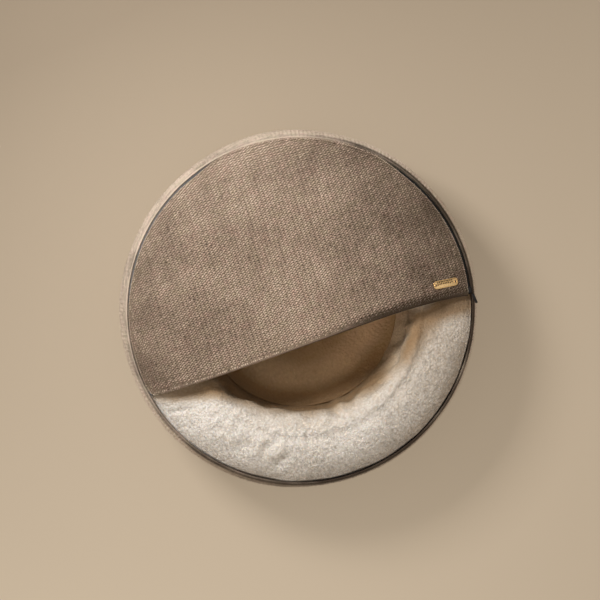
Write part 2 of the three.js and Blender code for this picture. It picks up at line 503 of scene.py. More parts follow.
class NodeBoard:
    """Short hand for placing and joining the nodes of one shader tree."""

    def __init__(self, tree: Tree) -> None:
        """Work on a tree."""
        self.tree = tree

    def add(self, kind: str, sockets: Optional[dict] = None, **settings: object) -> bpy.types.Node:
        """Place a node.

        Args:
            kind: The node's type, without the leading word ShaderNode.
            sockets: Input name or number to a value, or to a socket that feeds it.
            **settings: The node's own properties.

        Returns:
            The node.
        """
        node = self.tree.nodes.new(kind if kind.startswith("Node") else "ShaderNode" + kind)
        for name, value in settings.items():
            setattr(node, name, value)
        for name, value in (sockets or {}).items():
            self.feed(node.inputs[name], value)
        return node

    def feed(self, socket: Socket, value: object) -> None:
        """Join a socket to another one, or set its plain value.

        Args:
            socket: The input.
            value: The socket that feeds it, or a value.
        """
        if isinstance(value, Socket):
            self.tree.links.new(value, socket)
        elif isinstance(value, tuple) and len(value) == 3 and socket.type == "RGBA":
            socket.default_value = (*value, 1.0)
        else:
            socket.default_value = value

    def place(self) -> Socket:
        """Places in the piece's own coordinates."""
        return self.add("TexCoord").outputs["Object"]

    def noise(self, place: object, scale: object, detail: float) -> Socket:
        """Soft noise from 0 to 1."""
        return self.add("TexNoise", {"Vector": place, "Scale": scale, "Detail": detail}).outputs[0]

    def mix(self, factor: object, first: object, second: object, blend: str = "MIX") -> Socket:
        """Mix two colours, with a share of the second that is held between 0 and 1."""
        sockets = {"Factor": factor, 6: first, 7: second}
        return self.add("Mix", sockets, data_type="RGBA", blend_type=blend).outputs[2]

    def math(self, operation: str, first: object, second: object = 0.0) -> Socket:
        """One sum on two values."""
        return self.add("Math", {0: first, 1: second}, operation=operation).outputs[0]

    def swing(self, value: object, factor: object) -> Socket:
        """How far a value lies from 0.5, times a factor."""
        return self.math("MULTIPLY", self.math("SUBTRACT", value, 0.5), factor)

    def three_tones(self, tone: object, dark: object, middle: object, light: object) -> Socket:
        """Colour at a tone: dark at 0, middle at 0.5 and light at 1.

        Args:
            tone: The tone.
            dark, middle, light: The three colours.

        Returns:
            The colour.
        """
        low = self.mix(self.math("MULTIPLY", tone, 2.0), dark, middle)
        upper = self.add("Clamp", {0: self.swing(tone, 2.0)}).outputs[0]
        return self.mix(upper, low, light)


def new_group(
    name: str, inputs: dict[str, object], outputs: dict[str, str]
) -> tuple[Tree, NodeBoard, dict[str, Socket]]:
    """Start a shader node group.

    Args:
        name: The group's name.
        inputs: Input names to their default values.
        outputs: Output names to their socket types.

    Returns:
        The group, a board to place nodes on, and its inputs by name.
    """
    group = bpy.data.node_groups.new(name, "ShaderNodeTree")
    for label, default in inputs.items():
        kind = "NodeSocketColor" if isinstance(default, tuple) else "NodeSocketFloat"
        socket = group.interface.new_socket(name=label, in_out="INPUT", socket_type=kind)
        socket.default_value = (*default, 1.0) if isinstance(default, tuple) else default
    for label, kind in outputs.items():
        group.interface.new_socket(name=label, in_out="OUTPUT", socket_type=kind)
    board = NodeBoard(group)
    entry = board.add("NodeGroupInput")
    return group, board, {label: entry.outputs[label] for label in inputs}


class Effects:
    """Node groups that several finishes share, each made once."""

    def __init__(self) -> None:
        """Build the groups."""
        self.yarn = self._yarn()
        self.fibre = self._fibre()
        self.wear_and_sheen = self._wear()

    @staticmethod
    def _yarn() -> Tree:
        """Heathered yarn: colour from a tone, slow drifts of hue and fine hairs.

        Returns:
            The group.
        """
        group, board, given = new_group(
            "heathered_yarn",
            {
                "Tone": 0.5, "Drift": 0.5, "Hair Scale": 1400.0,
                "Dark": (0.1, 0.07, 0.05), "Middle": (0.3, 0.22, 0.16), "Light": (0.6, 0.5, 0.4),
            },
            {"Colour": "NodeSocketColor", "Height": "NodeSocketFloat"},
        )
        place = board.place()
        drift = board.noise(place, scale=16.0, detail=3.0)
        hue = board.noise(place, scale=75.0, detail=3.0)
        hair = board.noise(place, scale=given["Hair Scale"], detail=2.0)
        drifted = board.math("ADD", given["Tone"], board.swing(drift, given["Drift"]))
        tone = board.math("ADD", drifted, board.swing(hair, 0.5))
        plain = board.three_tones(tone, given["Dark"], given["Middle"], given["Light"])
        lively = board.math("ADD", board.swing(hue, 2.5), 0.5)
        tint = board.three_tones(lively, (0.97, 1.0, 0.95), (1.0, 1.0, 1.0), (1.04, 0.98, 1.0))
        colour = board.mix(1.0, plain, tint, "MULTIPLY")
        board.add("NodeGroupOutput", {"Colour": colour, "Height": hair})
        return group

    @staticmethod
    def _fibre() -> Tree:
        """Soft pile: colour that varies in curls, paler at their middles with painted shade between them, and
        painted shade colours below tone 0 that Warmth paints warmer.

        Returns:
            The group.
        """
        group, board, given = new_group(
            "soft_pile",
            {
                "Tone": 0.5, "Warmth": 0.0, "Contrast": 0.9, "Clump Scale": 200.0,
                "Shade": (0.2, 0.13, 0.07), "Deep Shade": (0.4, 0.27, 0.16), "Root": (0.5, 0.4, 0.3),
                "Tip": (0.85, 0.78, 0.7),
            },
            {"Colour": "NodeSocketColor", "Height": "NodeSocketFloat"},
        )
        place = board.place()
        # Cells make the curls, with painted shade in the gaps between them. A little noise bends their sides.
        bend = board.add("TexNoise", {"Vector": place, "Scale": 260.0, "Detail": 2.0}).outputs["Color"]
        strayed = board.add("MixRGB", {0: 0.005, 1: place, 2: bend}, blend_type="ADD").outputs[0]
        cell = board.add("TexVoronoi", {"Vector": strayed, "Scale": given["Clump Scale"]}).outputs["Distance"]
        clump = board.math("SUBTRACT", 1.22, board.math("MULTIPLY", cell, 1.25))
        # The curls show less where the fleece's tone is low, as in its painted shade.
        lively = board.math("MULTIPLY", given["Contrast"], board.math("MAXIMUM", given["Tone"], 0.2))
        slow = board.swing(board.noise(place, scale=14.0, detail=2.0), 0.2)
        moved = board.math("ADD", board.swing(clump, lively), slow)
        tone = board.math("ADD", given["Tone"], moved)
        # Below tone 0 the colour passes from the deep to the darkest shade colour, both painted shade, and
        # Warmth paints that shade warmer.
        dim = board.mix(board.math("MULTIPLY", tone, -2.0), given["Deep Shade"], given["Shade"])
        plain = board.three_tones(tone, dim, given["Root"], given["Tip"])
        warmed = board.mix(1.0, plain, (1.0, 0.85, 0.65), "MULTIPLY")
        colour = board.mix(given["Warmth"], plain, warmed)
        board.add("NodeGroupOutput", {"Colour": colour, "Height": clump})
        return group

    @staticmethod
    def _wear() -> Tree:
        """Handled hard surface: small smudges in its gloss and a faint unevenness of colour.

        Returns:
            The group.
        """
        group, board, given = new_group(
            "handled_gloss",
            {
                "Tone": 0.0, "Gloss": 0.3, "Spread": 0.2, "Scale": 300.0,
                "Base": (0.5, 0.5, 0.5), "Smudge": (0.4, 0.4, 0.4), "Patina And Shadow": (0.05, 0.03, 0.015),
            },
            {"Colour": "NodeSocketColor", "Roughness": "NodeSocketFloat", "Height": "NodeSocketFloat"},
        )
        smudge = board.noise(board.place(), scale=given["Scale"], detail=5.0)
        bare = board.mix(smudge, given["Base"], given["Smudge"])
        # The mesh's tone mixes in the patina colour, which also serves for a painted shadow.
        colour = board.mix(given["Tone"], bare, given["Patina And Shadow"])
        rough = board.math("ADD", given["Gloss"], board.swing(smudge, given["Spread"]))
        board.add("NodeGroupOutput", {"Colour": colour, "Roughness": rough, "Height": smudge})
        return group


@dataclass(frozen=True)
class Finish:
    """One surface finish: a shared effect with its own values, and the plain settings beside it."""

    name: str
    group: Tree
    values: dict[str, object]
    roughness: float = 0.9
    metallic: float = 0.0
    specular: float = 0.25
    sheen: float = 0.0
    sheen_roughness: float = 0.45
    sheen_tint: Triple = (1.0, 0.93, 0.84)
    bump: float = 0.0
    tone: bool = False
    # Share of light that scatters under the surface, how far each colour goes, and how deep.
    under: float = 0.0
    under_tint: Triple = (1.0, 0.8, 0.6)
    under_depth: float = 4 * MM

    def make(self) -> Material:
        """Build the material.

        Returns:
            The material.
        """
        material = bpy.data.materials.new(self.name)
        material.use_nodes = True
        board = NodeBoard(material.node_tree)
        shader = material.node_tree.nodes["Principled BSDF"]
        effect = board.add("Group", self.values, node_tree=self.group)
        from_mesh = (("Tone", self.tone), ("Warmth", "Warmth" in effect.inputs))
        for label, wanted in from_mesh:
            if wanted:
                own = board.add("Attribute", attribute_name=label.lower())
                board.feed(effect.inputs[label], own.outputs["Fac"])
        board.feed(shader.inputs["Base Color"], effect.outputs["Colour"])
        board.feed(shader.inputs["Roughness"], effect.outputs.get("Roughness", self.roughness))
        shader.inputs["Metallic"].default_value = self.metallic
        shader.inputs["Sheen Weight"].default_value = self.sheen
        shader.inputs["Sheen Roughness"].default_value = self.sheen_roughness
        shader.inputs["Sheen Tint"].default_value = (*self.sheen_tint, 1.0)
        if not self.metallic:
            shader.inputs["Specular IOR Level"].default_value = self.specular
        if self.under:
            shader.inputs["Subsurface Weight"].default_value = self.under
            shader.inputs["Subsurface Radius"].default_value = self.under_tint
            shader.inputs["Subsurface Scale"].default_value = self.under_depth
        if self.bump:
            relief = board.add("Bump", {"Height": effect.outputs["Height"], "Distance": self.bump})
            board.feed(shader.inputs["Normal"], relief.outputs["Normal"])
        return material


class Finishes:
    """All the finishes of the bed, each made once."""

    def __init__(self) -> None:
        """Make the tweed's, the fleece's and the hard parts' finishes."""
        effects = Effects()
        self._tweed(effects)
        self._fleece(effects)
        self._hard_parts(effects)

    @staticmethod
    def soft(name: str, group: Tree, values: dict, **more: float) -> Material:
        """A matt finish that takes its tone from the mesh, with other fields as they are given."""
        return Finish(name, group, values, **{"roughness": 0.95, "tone": True, **more}).make()

    def _tweed(self, effects: Effects) -> None:
        """Yarns and ground cloth of the cover and the wall.

        Args:
            effects: The shared effects.
        """
        # The ground cloth and the dark yarns are darker than the pale yarns, a painted shade for the weave's
        # holes. The edge yarns reach darker for the painted shade on the rim and under the hem, and the
        # band's colours span near black to pale for the wall's painted shade and painted light.
        yarn = {"Dark": (0.17, 0.123, 0.09), "Middle": (0.592, 0.476, 0.395), "Light": (0.92, 0.82, 0.72)}
        ground = {"Dark": (0.07, 0.05, 0.036), "Middle": (0.245, 0.188, 0.145), "Light": (0.35, 0.275, 0.215)}
        edge = {**yarn, "Dark": (0.034, 0.023, 0.016)}
        dark = {"Dark": (0.03, 0.02, 0.013), "Middle": (0.135, 0.097, 0.07), "Light": (0.2, 0.145, 0.107)}
        band = {"Dark": (0.05, 0.036, 0.026), "Middle": (0.66, 0.565, 0.485), "Light": (0.88, 0.81, 0.74)}
        self.yarn = self.soft("tweed_yarn", effects.yarn, yarn, sheen=0.3, bump=0.3 * MM)
        self.ground = self.soft("tweed_ground", effects.yarn, ground, sheen=0.05, bump=0.4 * MM)
        self.edge = self.soft("tweed_edge_yarn", effects.yarn, edge, sheen=0.05)
        self.dark = self.soft("tweed_dark_yarn", effects.yarn, dark)
        self.band = self.soft("tweed_band", effects.yarn, band, sheen=0.05, bump=0.3 * MM)
        self.fuzz = self.soft("tweed_fuzz", effects.yarn, band, sheen=0.08)

    def _fleece(self, effects: Effects) -> None:
        """Skin and pile of the ring, and of the pad, whose browner colours are a painted warm shade of the
        well.

        Args:
            effects: The shared effects.
        """
        pale = {
            "Shade": (0.15, 0.11, 0.075), "Deep Shade": (0.34, 0.255, 0.175), "Root": (0.56, 0.495, 0.43),
            "Tip": (0.9, 0.88, 0.862), "Contrast": 0.44, "Clump Scale": 250.0,
        }
        # The pad's browner colours are a painted warm shade of the well.
        warm = {
            "Shade": (0.2, 0.132, 0.075), "Deep Shade": (0.46, 0.288, 0.148), "Root": (0.84, 0.63, 0.41),
            "Tip": (0.92, 0.8, 0.64), "Contrast": 0.35,
        }
        fibre = effects.fibre
        self.skin = self.soft("fleece_skin", fibre, pale, sheen=0.08, bump=0.9 * MM, under=0.2)
        self.pile = self.soft("fleece_pile", fibre, pale, sheen=0.08, bump=0.6 * MM, under=0.2)
        self.well_shade_skin = self.soft("fleece_well_shade_skin", fibre, warm, sheen=0.08, bump=1.2 * MM, under=0.25)
        self.well_shade_pile = self.soft("fleece_well_shade_pile", fibre, warm, sheen=0.08, under=0.25)

    def _hard_parts(self, effects: Effects) -> None:
        """Zip and plate.

        Args:
            effects: The shared effects.
        """
        black = {"Base": (0.008, 0.008, 0.009), "Smudge": (0.018, 0.018, 0.02), "Gloss": 0.45}
        # The tape's paler colours paint its sheen on the left.
        tape = {"Dark": (0.012, 0.012, 0.013), "Middle": (0.1, 0.105, 0.115), "Light": (0.21, 0.215, 0.23)}
        gold = {"Base": (1.0, 0.8, 0.48), "Smudge": (0.72, 0.45, 0.19), "Gloss": 0.2, "Scale": 620.0}
        self.zip_black = Finish("zip_black", effects.wear_and_sheen, black, bump=0.05 * MM).make()
        self.zip_tape = self.soft("zip_tape", effects.yarn, tape, roughness=0.7, bump=0.2 * MM)
        self.brass = Finish("pale_gold", effects.wear_and_sheen, gold, metallic=1.0, bump=0.05 * MM, tone=True).make()


@dataclass(frozen=True)
class BedForm:
    """Sizes and curves that the pieces of the bed share."""

    # Thickness of the tweed, and room between neighbouring pieces.
    cloth: float = 3 * MM
    gap: float = 0.4 * MM
    # Wall.
    rim_height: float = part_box("side_wall")[1].z
    rim_radius: float = 284.5 * MM
    foot_radius: float = 270 * MM
    wall_bulge: float = 22 * MM
    wall_waves: tuple[Wave, ...] = (Wave(2, 40, 1.2 * MM), Wave(5, 15, 0.8 * MM), Wave(9, 70, 0.5 * MM))
    # Cover: its round edge, and its dome, which is flatter towards the left.
    cover_radius: float = 277.5 * MM
    cover_edge_rise: float = 1.5 * MM
    dome_rise: float = 45 * MM
    dome_power: float = 5.0
    dome_lean: float = 2.0
    # Hem: place of its ends, its bow to the back, its sag, and the tuck in its right part.
    hem_y: float = -57 * MM
    hem_bow: float = 11.5 * MM
    hem_bow_skew: float = 2.4
    hem_bow_power: float = 0.8
    hem_sag: float = 5 * MM
    hem_sag_reach: float = 70 * MM
    tuck_depth: float = 6 * MM
    tuck_reach: float = 18 * MM
    tuck_from: Pair = (0.6, 0.78)
    tuck_to: Pair = (0.93, 1.0)
    # Plate: its middle, its bearing in degrees, its length and width.
    plate_place: Pair = (237.6 * MM, -27.2 * MM)
    plate_heading: float = -7.2
    plate_size: Pair = (43.4 * MM, 13.6 * MM)

    @property
    def half_hem(self) -> float:
        """Half the hem's span."""
        return math.sqrt(self.cover_radius**2 - self.hem_y**2)

    @property
    def hem_bearing(self) -> float:
        """Bearing of the hem's right end."""
        return math.atan2(self.hem_y, self.half_hem)

    def wall_radius(self, height: Array, bearing: Array) -> Array:
        """Outer radius of the wall.

        Args:
            height: Heights above the floor.
            bearing: Bearings.

        Returns:
            The radius there.
        """
        share = height / self.rim_height
        swell = 4 * share * (1 - share)
        bulge = self.wall_bulge + ripple(self.wall_waves, bearing)
        return lerp(self.foot_radius, self.rim_radius, share) + swell * bulge

    def along_hem(self, x: Array) -> Array:
        """Share of the hem's length from its left end."""
        return (x + self.half_hem) / (2 * self.half_hem)

    def hem_line(self, share: Array) -> Array:
        """The hem's y at a share of its length from the left."""
        arch = np.sin(math.pi * np.clip(share, 0, 1) ** self.hem_bow_skew)
        return self.hem_y + self.hem_bow * np.maximum(arch, 0) ** self.hem_bow_power

    def from_hem(self, x: Array, y: Array) -> tuple[Array, Array]:
        """Share along the hem and distance behind it, of a point of the cover."""
        share = np.clip(self.along_hem(x), 0, 1)
        return share, np.maximum(0, y - self.hem_line(share))

    def cover_top(self, x: Array, y: Array) -> Array:
        """Height of the cover's top face.

        Args:
            x, y: Places in plan.

        Returns:
            The height there.
        """
        power = self.dome_power - self.dome_lean * (x / self.cover_radius)
        dome = self.dome_rise * (1 - (np.hypot(x, y) / self.cover_radius) ** power)
        share, distance = self.from_hem(x, y)
        sag = self.hem_sag * np.sin(math.pi * share) * np.exp(-distance / self.hem_sag_reach)
        tucked = smoothstep(share, *self.tuck_from) - smoothstep(share, *self.tuck_to)
        tuck = self.tuck_depth * tucked * np.clip(1 - distance / self.tuck_reach, 0, 1) ** 2
        return self.rim_height + self.cover_edge_rise + np.maximum(0, dome) - sag - tuck

    def on_cover(self, x: Array, y: Array) -> Array:
        """Points of the cover's top face."""
        return np.stack([x, y, self.cover_top(x, y)], axis=-1)

    def cover_normal(self, x: Array, y: Array) -> Array:
        """Unit normals of the cover's top face.

        Args:
            x, y: Places in plan.

        Returns:
            The normals there.
        """
        step = SLOPE_STEP
        east = (self.cover_top(x + step, y) - self.cover_top(x - step, y)) / (2 * step)
        north = (self.cover_top(x, y + step) - self.cover_top(x, y - step)) / (2 * step)
        return unit(np.stack([-east, -north, np.ones_like(east)], axis=-1))

    def beside_plate(self, x: Array, y: Array) -> Array:
        """Distance of places on the cover from the plate's outline.

        Args:
            x, y: Places in plan.

        Returns:
            The distance, below 0 under the plate.
        """
        turn = math.radians(self.plate_heading)
        dx = x - self.plate_place[0]
        dy = y - self.plate_place[1]
        along = np.abs(dx * math.cos(turn) + dy * math.sin(turn)) - self.plate_size[0] / 2
        across = np.abs(dy * math.cos(turn) - dx * math.sin(turn)) - self.plate_size[1] / 2
        return np.maximum(along, across)


@dataclass(frozen=True)
class Lattice:
    """Places, slants, tones and sizes of a cloth's floats."""

    along: Array
    up: Array
    slant: Array
    tone: Array
    size: Array


@dataclass(frozen=True)
class Weave:
    """How the tweed's yarns lie: floats end to end as cords on the slant, crossed by dark yarns."""

    # Pitches along and across the rows, slant in degrees, and how far places, slants and tones stray.
    column: float = 6.48 * MM
    row: float = 4.07 * MM
    wander: float = 0.28 * MM
    slant: float = 32.1
    slant_spread: float = 5.0
    tone_spread: float = 0.08
    darkest: float = 0.02
    # Slow patches of tone, and faint upright streaks of a width and length.
    drift: float = 0.05
    drift_size: float = 45 * MM
    streak: float = 0.05
    streak_size: Pair = (3 * MM, 45 * MM)
    # The usual float, and the dark yarn that crosses the cords, shifted in columns and rows. The dark yarn's
    # colour is also a painted shade for the weave's holes.
    sizes: Pair = (0.86, 1.1)
    rung: YarnFloat = YarnFloat(9.8 * MM, 2.9 * MM, 0.5 * MM, 3)
    dot: YarnFloat = YarnFloat(7.2 * MM, 3.4 * MM, 1.4 * MM, 1)
    dot_slant: float = -32.1
    dot_shift: Pair = (-0.02, 0.2)

    def lattice(self, width: float, height: float, seed: int) -> Lattice:
        """Places of the floats over a rectangle that starts at the origin.

        Args:
            width: Along the rows.
            height: Across the rows.
            seed: Picks the small irregularities, together with the next two numbers.

        Returns:
            The lattice.
        """
        random = np.random.default_rng(seed)
        cols = int(width / self.column)
        rows = int(height / self.row)
        col, row = (index.ravel() for index in np.meshgrid(np.arange(cols), np.arange(rows), indexing="ij"))
        count = cols * rows
        along = col * (width / cols)
        up = (row + 0.5) * (height / rows)
        patch = speckle(np.stack([along, up, 0 * up], axis=-1), self.drift_size, seed + 1)
        stretched = np.stack([along / self.streak_size[0], up / self.streak_size[1], 0 * up], axis=-1)
        tone = 0.5 + self.drift * patch + self.streak * speckle(stretched, 1.0, seed + 2)
        tone += random.normal(0, self.tone_spread, count)
        return Lattice(
            along + random.normal(0, self.wander, count),
            up + random.normal(0, self.wander, count),
            np.radians(self.slant + random.normal(0, self.slant_spread, count)),
            np.clip(tone, self.darkest, 1.0),
            random.uniform(*self.sizes, count),
        )

    def crossing(self, cords: Lattice) -> Lattice:
        """Places of the dark yarns that cross the cords.

        Args:
            cords: Places of the floats.

        Returns:
            The same lattice, shifted and slanted the other way.
        """
        return replace(
            cords,
            along=cords.along + self.dot_shift[0] * self.column,
            up=cords.up + self.dot_shift[1] * self.row,
            slant=np.full_like(cords.slant, math.radians(self.dot_slant)),
        )


@dataclass
class Shell:
    """Bottom panel and side wall of the bed."""

    form: BedForm
    finishes: Finishes
    weave: Weave = Weave(wander=0.9 * MM, slant_spread=14.0, tone_spread=0.14)
    # Wall's mesh, and the band as it is cut: its height, and what seam and bulge add to the mean girth.
    bearings: int = 240
    levels: int = 30
    cut_height: float = 0.173
    seam: float = 0.06
    # Bottom panel, with its rings as shares of its radius.
    panel_bearings: int = 180
    panel_shares: tuple[float, ...] = (0.02, 0.2, 0.4, 0.6, 0.8, 0.95, 0.99, 1.0)
    panel_tone: float = 0.5
    # Wall's rounded rim, its yarns with the room they leave, and how small they are beside the ends.
    edge_round: float = 1.4 * MM
    wall_float: YarnFloat = YarnFloat(8.0 * MM, 3.4 * MM, 0.22 * MM, 1)
    float_clear: Pair = (0.6 * MM, 1.6 * MM)
    end_size: float = 0.55
    end_band: Pair = (1.5 * MM, 5 * MM)
    # Tones at bearings in degrees, with light and shade painted in: the wall's, palest on its shaded right
    # side and darker at the front as a painted contact shadow, which pass into one tone near the floor, and
    # the rim's, a painted shade darkest on the right and at the front.
    ground_fall: float = 0.06
    wall_tones: Table = (
        (0, 0.85), (30, 0.7), (60, 0.54), (120, 0.48), (180, 0.46), (200, 0.56), (220, 0.46), (240, 0.25),
        (265, 0.24), (290, 0.42), (310, 0.65), (335, 0.85),
    )
    low_tone: float = 0.52
    low_band: Pair = (40 * MM, 125 * MM)
    rim_tones: Table = (
        (0, 0.0), (40, 0.04), (80, 0.4), (165, 0.36), (185, 0.24), (200, 0.17), (225, 0.12), (250, 0.03),
        (290, 0.0),
    )
    rim_band: Pair = (7 * MM, 17 * MM)
    # Small changes of tone.
    grain: float = 0.2
    grain_size: float = 2.6 * MM
    grain_upright: float = 0.8
    # Yarns over the rim's fold, inside its middle and below its top.
    rim_row: EdgeRow = EdgeRow(EDGE_YARN, 3.0 * MM, 38, 8, (0.62, 0.76))
    rim_tip: float = 0.2
    rim_inset: Pair = (0.1 * MM, 0.2 * MM)
    rim_spread: float = 0.25
    # Stray hairs, kept off the floor.
    hairs: Hairs = Hairs(30000, 2.2 * MM, 0.16 * MM, 0.5 * MM, upright=1.0, seed=21)
    hairs_from: Pair = (3 * MM, 5 * MM)

    def build(self) -> None:
        """Make the panel, the wall, its yarns and its stray hairs."""
        self.bottom_panel()
        wall, points, normals = self.side_wall()
        extras = [self.wall_yarns(), self.rim_yarns(), self.wall_fuzz(points, normals)]

    def bottom_panel(self) -> None:
        """Make the flat round panel inside the foot of the wall."""
        radius = self.form.foot_radius - self.form.cloth - self.form.gap
        rings = radius * np.array(self.panel_shares)[:, None]
        bearing = full_turn(self.panel_bearings)[None, :]
        low = polar(rings, bearing, 0.0)
        top = polar(rings, bearing, self.form.cloth)
        points, faces = closed_stack(np.concatenate([low, top[::-1]]), 0.0, self.form.cloth)
        tone = np.full(len(points), self.panel_tone)
        piece = mesh_piece("bottom_panel_cloth", points, faces, self.finishes.ground, Slot.TWEED, tone)
        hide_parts("bottom_panel")

    def side_wall(self) -> tuple[Piece, Array, Array]:
        """The bulging band, with a rounded fold at its rim.

        Returns:
            The piece, its outer points and their normals.
        """
        form = self.form
        bearing = full_turn(self.bearings)[None, :]
        fold_height = form.rim_height - self.edge_round
        height = np.linspace(0, fold_height, self.levels)[:, None]
        outer = polar(form.wall_radius(height, bearing), bearing, height)
        turn = FOLD_TURNS[:, None]
        middle = form.wall_radius(fold_height, bearing) - form.cloth / 2
        fold = polar(
            middle + form.cloth / 2 * np.cos(turn), bearing, fold_height + self.edge_round * np.sin(turn)
        )
        inner = polar(form.wall_radius(height[::-1], bearing) - form.cloth, bearing, height[::-1])
        points = np.concatenate([outer, fold, inner])
        rows, cols = points.shape[:2]
        outer_tone = self.wall_tone(outer) - self.ground_fall
        tone = np.concatenate([outer_tone, self.rim_tone(fold), self.rim_tone(inner)])
        piece = mesh_piece(
            "side_wall_cloth", points.reshape(-1, 3), [grid_faces(rows, cols, True, True)],
            self.finishes.band, Slot.TWEED, tone.ravel(),
        )
        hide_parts("side_wall")
        return piece, outer, grid_normals(outer, False, True)

    def wall_frame(self, along: Array, height: Array) -> tuple[Array, Array, Array]:
        """Place on the wall's outer face.

        Args:
            along: Length round the bed, at the rim's girth.
            height: Height above the floor.

        Returns:
            Points, directions round the bed and outward normals.
        """
        form = self.form
        step = SLOPE_STEP
        bearing = along / form.rim_radius
        above = form.wall_radius(height + step, bearing)
        rise = (above - form.wall_radius(height - step, bearing)) / (2 * step)
        points = polar(form.wall_radius(height, bearing), bearing, height)
        normal = unit(polar(np.ones_like(bearing), bearing, -rise))
        return points, outward_from(bearing + math.pi / 2), normal

    def wall_tone(self, points: Array) -> Array:
        """Tone of the wall, with light and shade painted in: pale at the back and sides, palest on its shaded
        right side as painted light, and darker at the left of the front as a painted contact shadow.

        Args:
            points: Places on the wall.

        Returns:
            The tone there.
        """
        height = points[..., 2]
        bearing = np.degrees(bearing_of(points))
        below = smoothstep(self.form.rim_height - height, *self.rim_band)
        upper = lerp(self.rim_tone(points), look_up(self.wall_tones, bearing, period=360), below)
        tone = lerp(self.low_tone, upper, smoothstep(height, *self.low_band))
        grain = speckle(points * (1.0, 1.0, self.grain_upright), self.grain_size, seed=24)
        return tone * (1 + self.grain * grain)

    def rim_tone(self, points: Array) -> Array:
        """Tone of the rim's fold, a painted shade: nearly black beside the zip's slider and at the front,
        paler at the back.
        """
        return look_up(self.rim_tones, np.degrees(bearing_of(points)), period=360)

    def wall_yarns(self) -> Piece:
        """Floats over the whole outer face.

        Returns:
            The piece.
        """
        form = self.form
        foot_clear, clear = self.float_clear
        lattice = self.weave.lattice(math.tau * form.rim_radius, form.rim_height - clear, seed=11)
        points, round_it, normal = self.wall_frame(lattice.along, lattice.up + foot_clear)
        direction = slanted(lattice.slant, round_it, np.cross(normal, round_it))
        near = np.minimum(lattice.up, form.rim_height - lattice.up)
        scale = lattice.size * lerp(self.end_size, 1.0, smoothstep(near, *self.end_band))
        mesh, faces = self.wall_float.lay(points, direction, normal, scale)
        tone = self.wall_float.spread(np.clip(self.wall_tone(points) * (0.5 + lattice.tone), 0, 1))
        return mesh_piece("side_wall_yarns", mesh, faces, self.finishes.band, Slot.TWEED, tone)

    def rim_yarns(self) -> Piece:
        """Yarns that turn over the fold at the rim.

        Returns:
            The piece.
        """
        form = self.form
        random = np.random.default_rng(14)
        count = int(math.tau * form.rim_radius / self.rim_row.pitch)
        bearing = full_turn(count)
        outward = outward_from(bearing)
        inset, drop = self.rim_inset
        centre = outward * (form.rim_radius - form.cloth / 2 - inset) + UP * (form.rim_height - drop)
        round_it = outward_from(bearing + math.pi / 2)
        mesh, faces = self.rim_row.lay(centre, round_it, outward, self.rim_tip, random)
        tone = self.rim_tone(centre) * (1 + random.normal(0, self.rim_spread, count))
        tone = self.rim_row.yarn.spread(np.clip(tone, 0, 1))
        return mesh_piece("rim_fold_yarns", mesh, faces, self.finishes.edge, Slot.TWEED, tone)

    def wall_fuzz(self, points: Array, normals: Array) -> Piece:
        """Stray hairs that soften the wall's outline, kept off the floor.

        Args:
            points: The wall's outer points.
            normals: Their normals.

        Returns:
            The piece.
        """
        weight = smoothstep(points[..., 2], *self.hairs_from)
        mesh, faces = self.hairs.grow(points, normals, weight)
        return mesh_piece("side_wall_fuzz", mesh, faces, self.finishes.fuzz, Slot.TWEED, self.wall_tone(mesh))


@dataclass(frozen=True)
class HemRow:
    """One row of yarns along the hem: how far behind its edge, below its top and tipped outward."""

    back: float
    drop: float
    tip: float


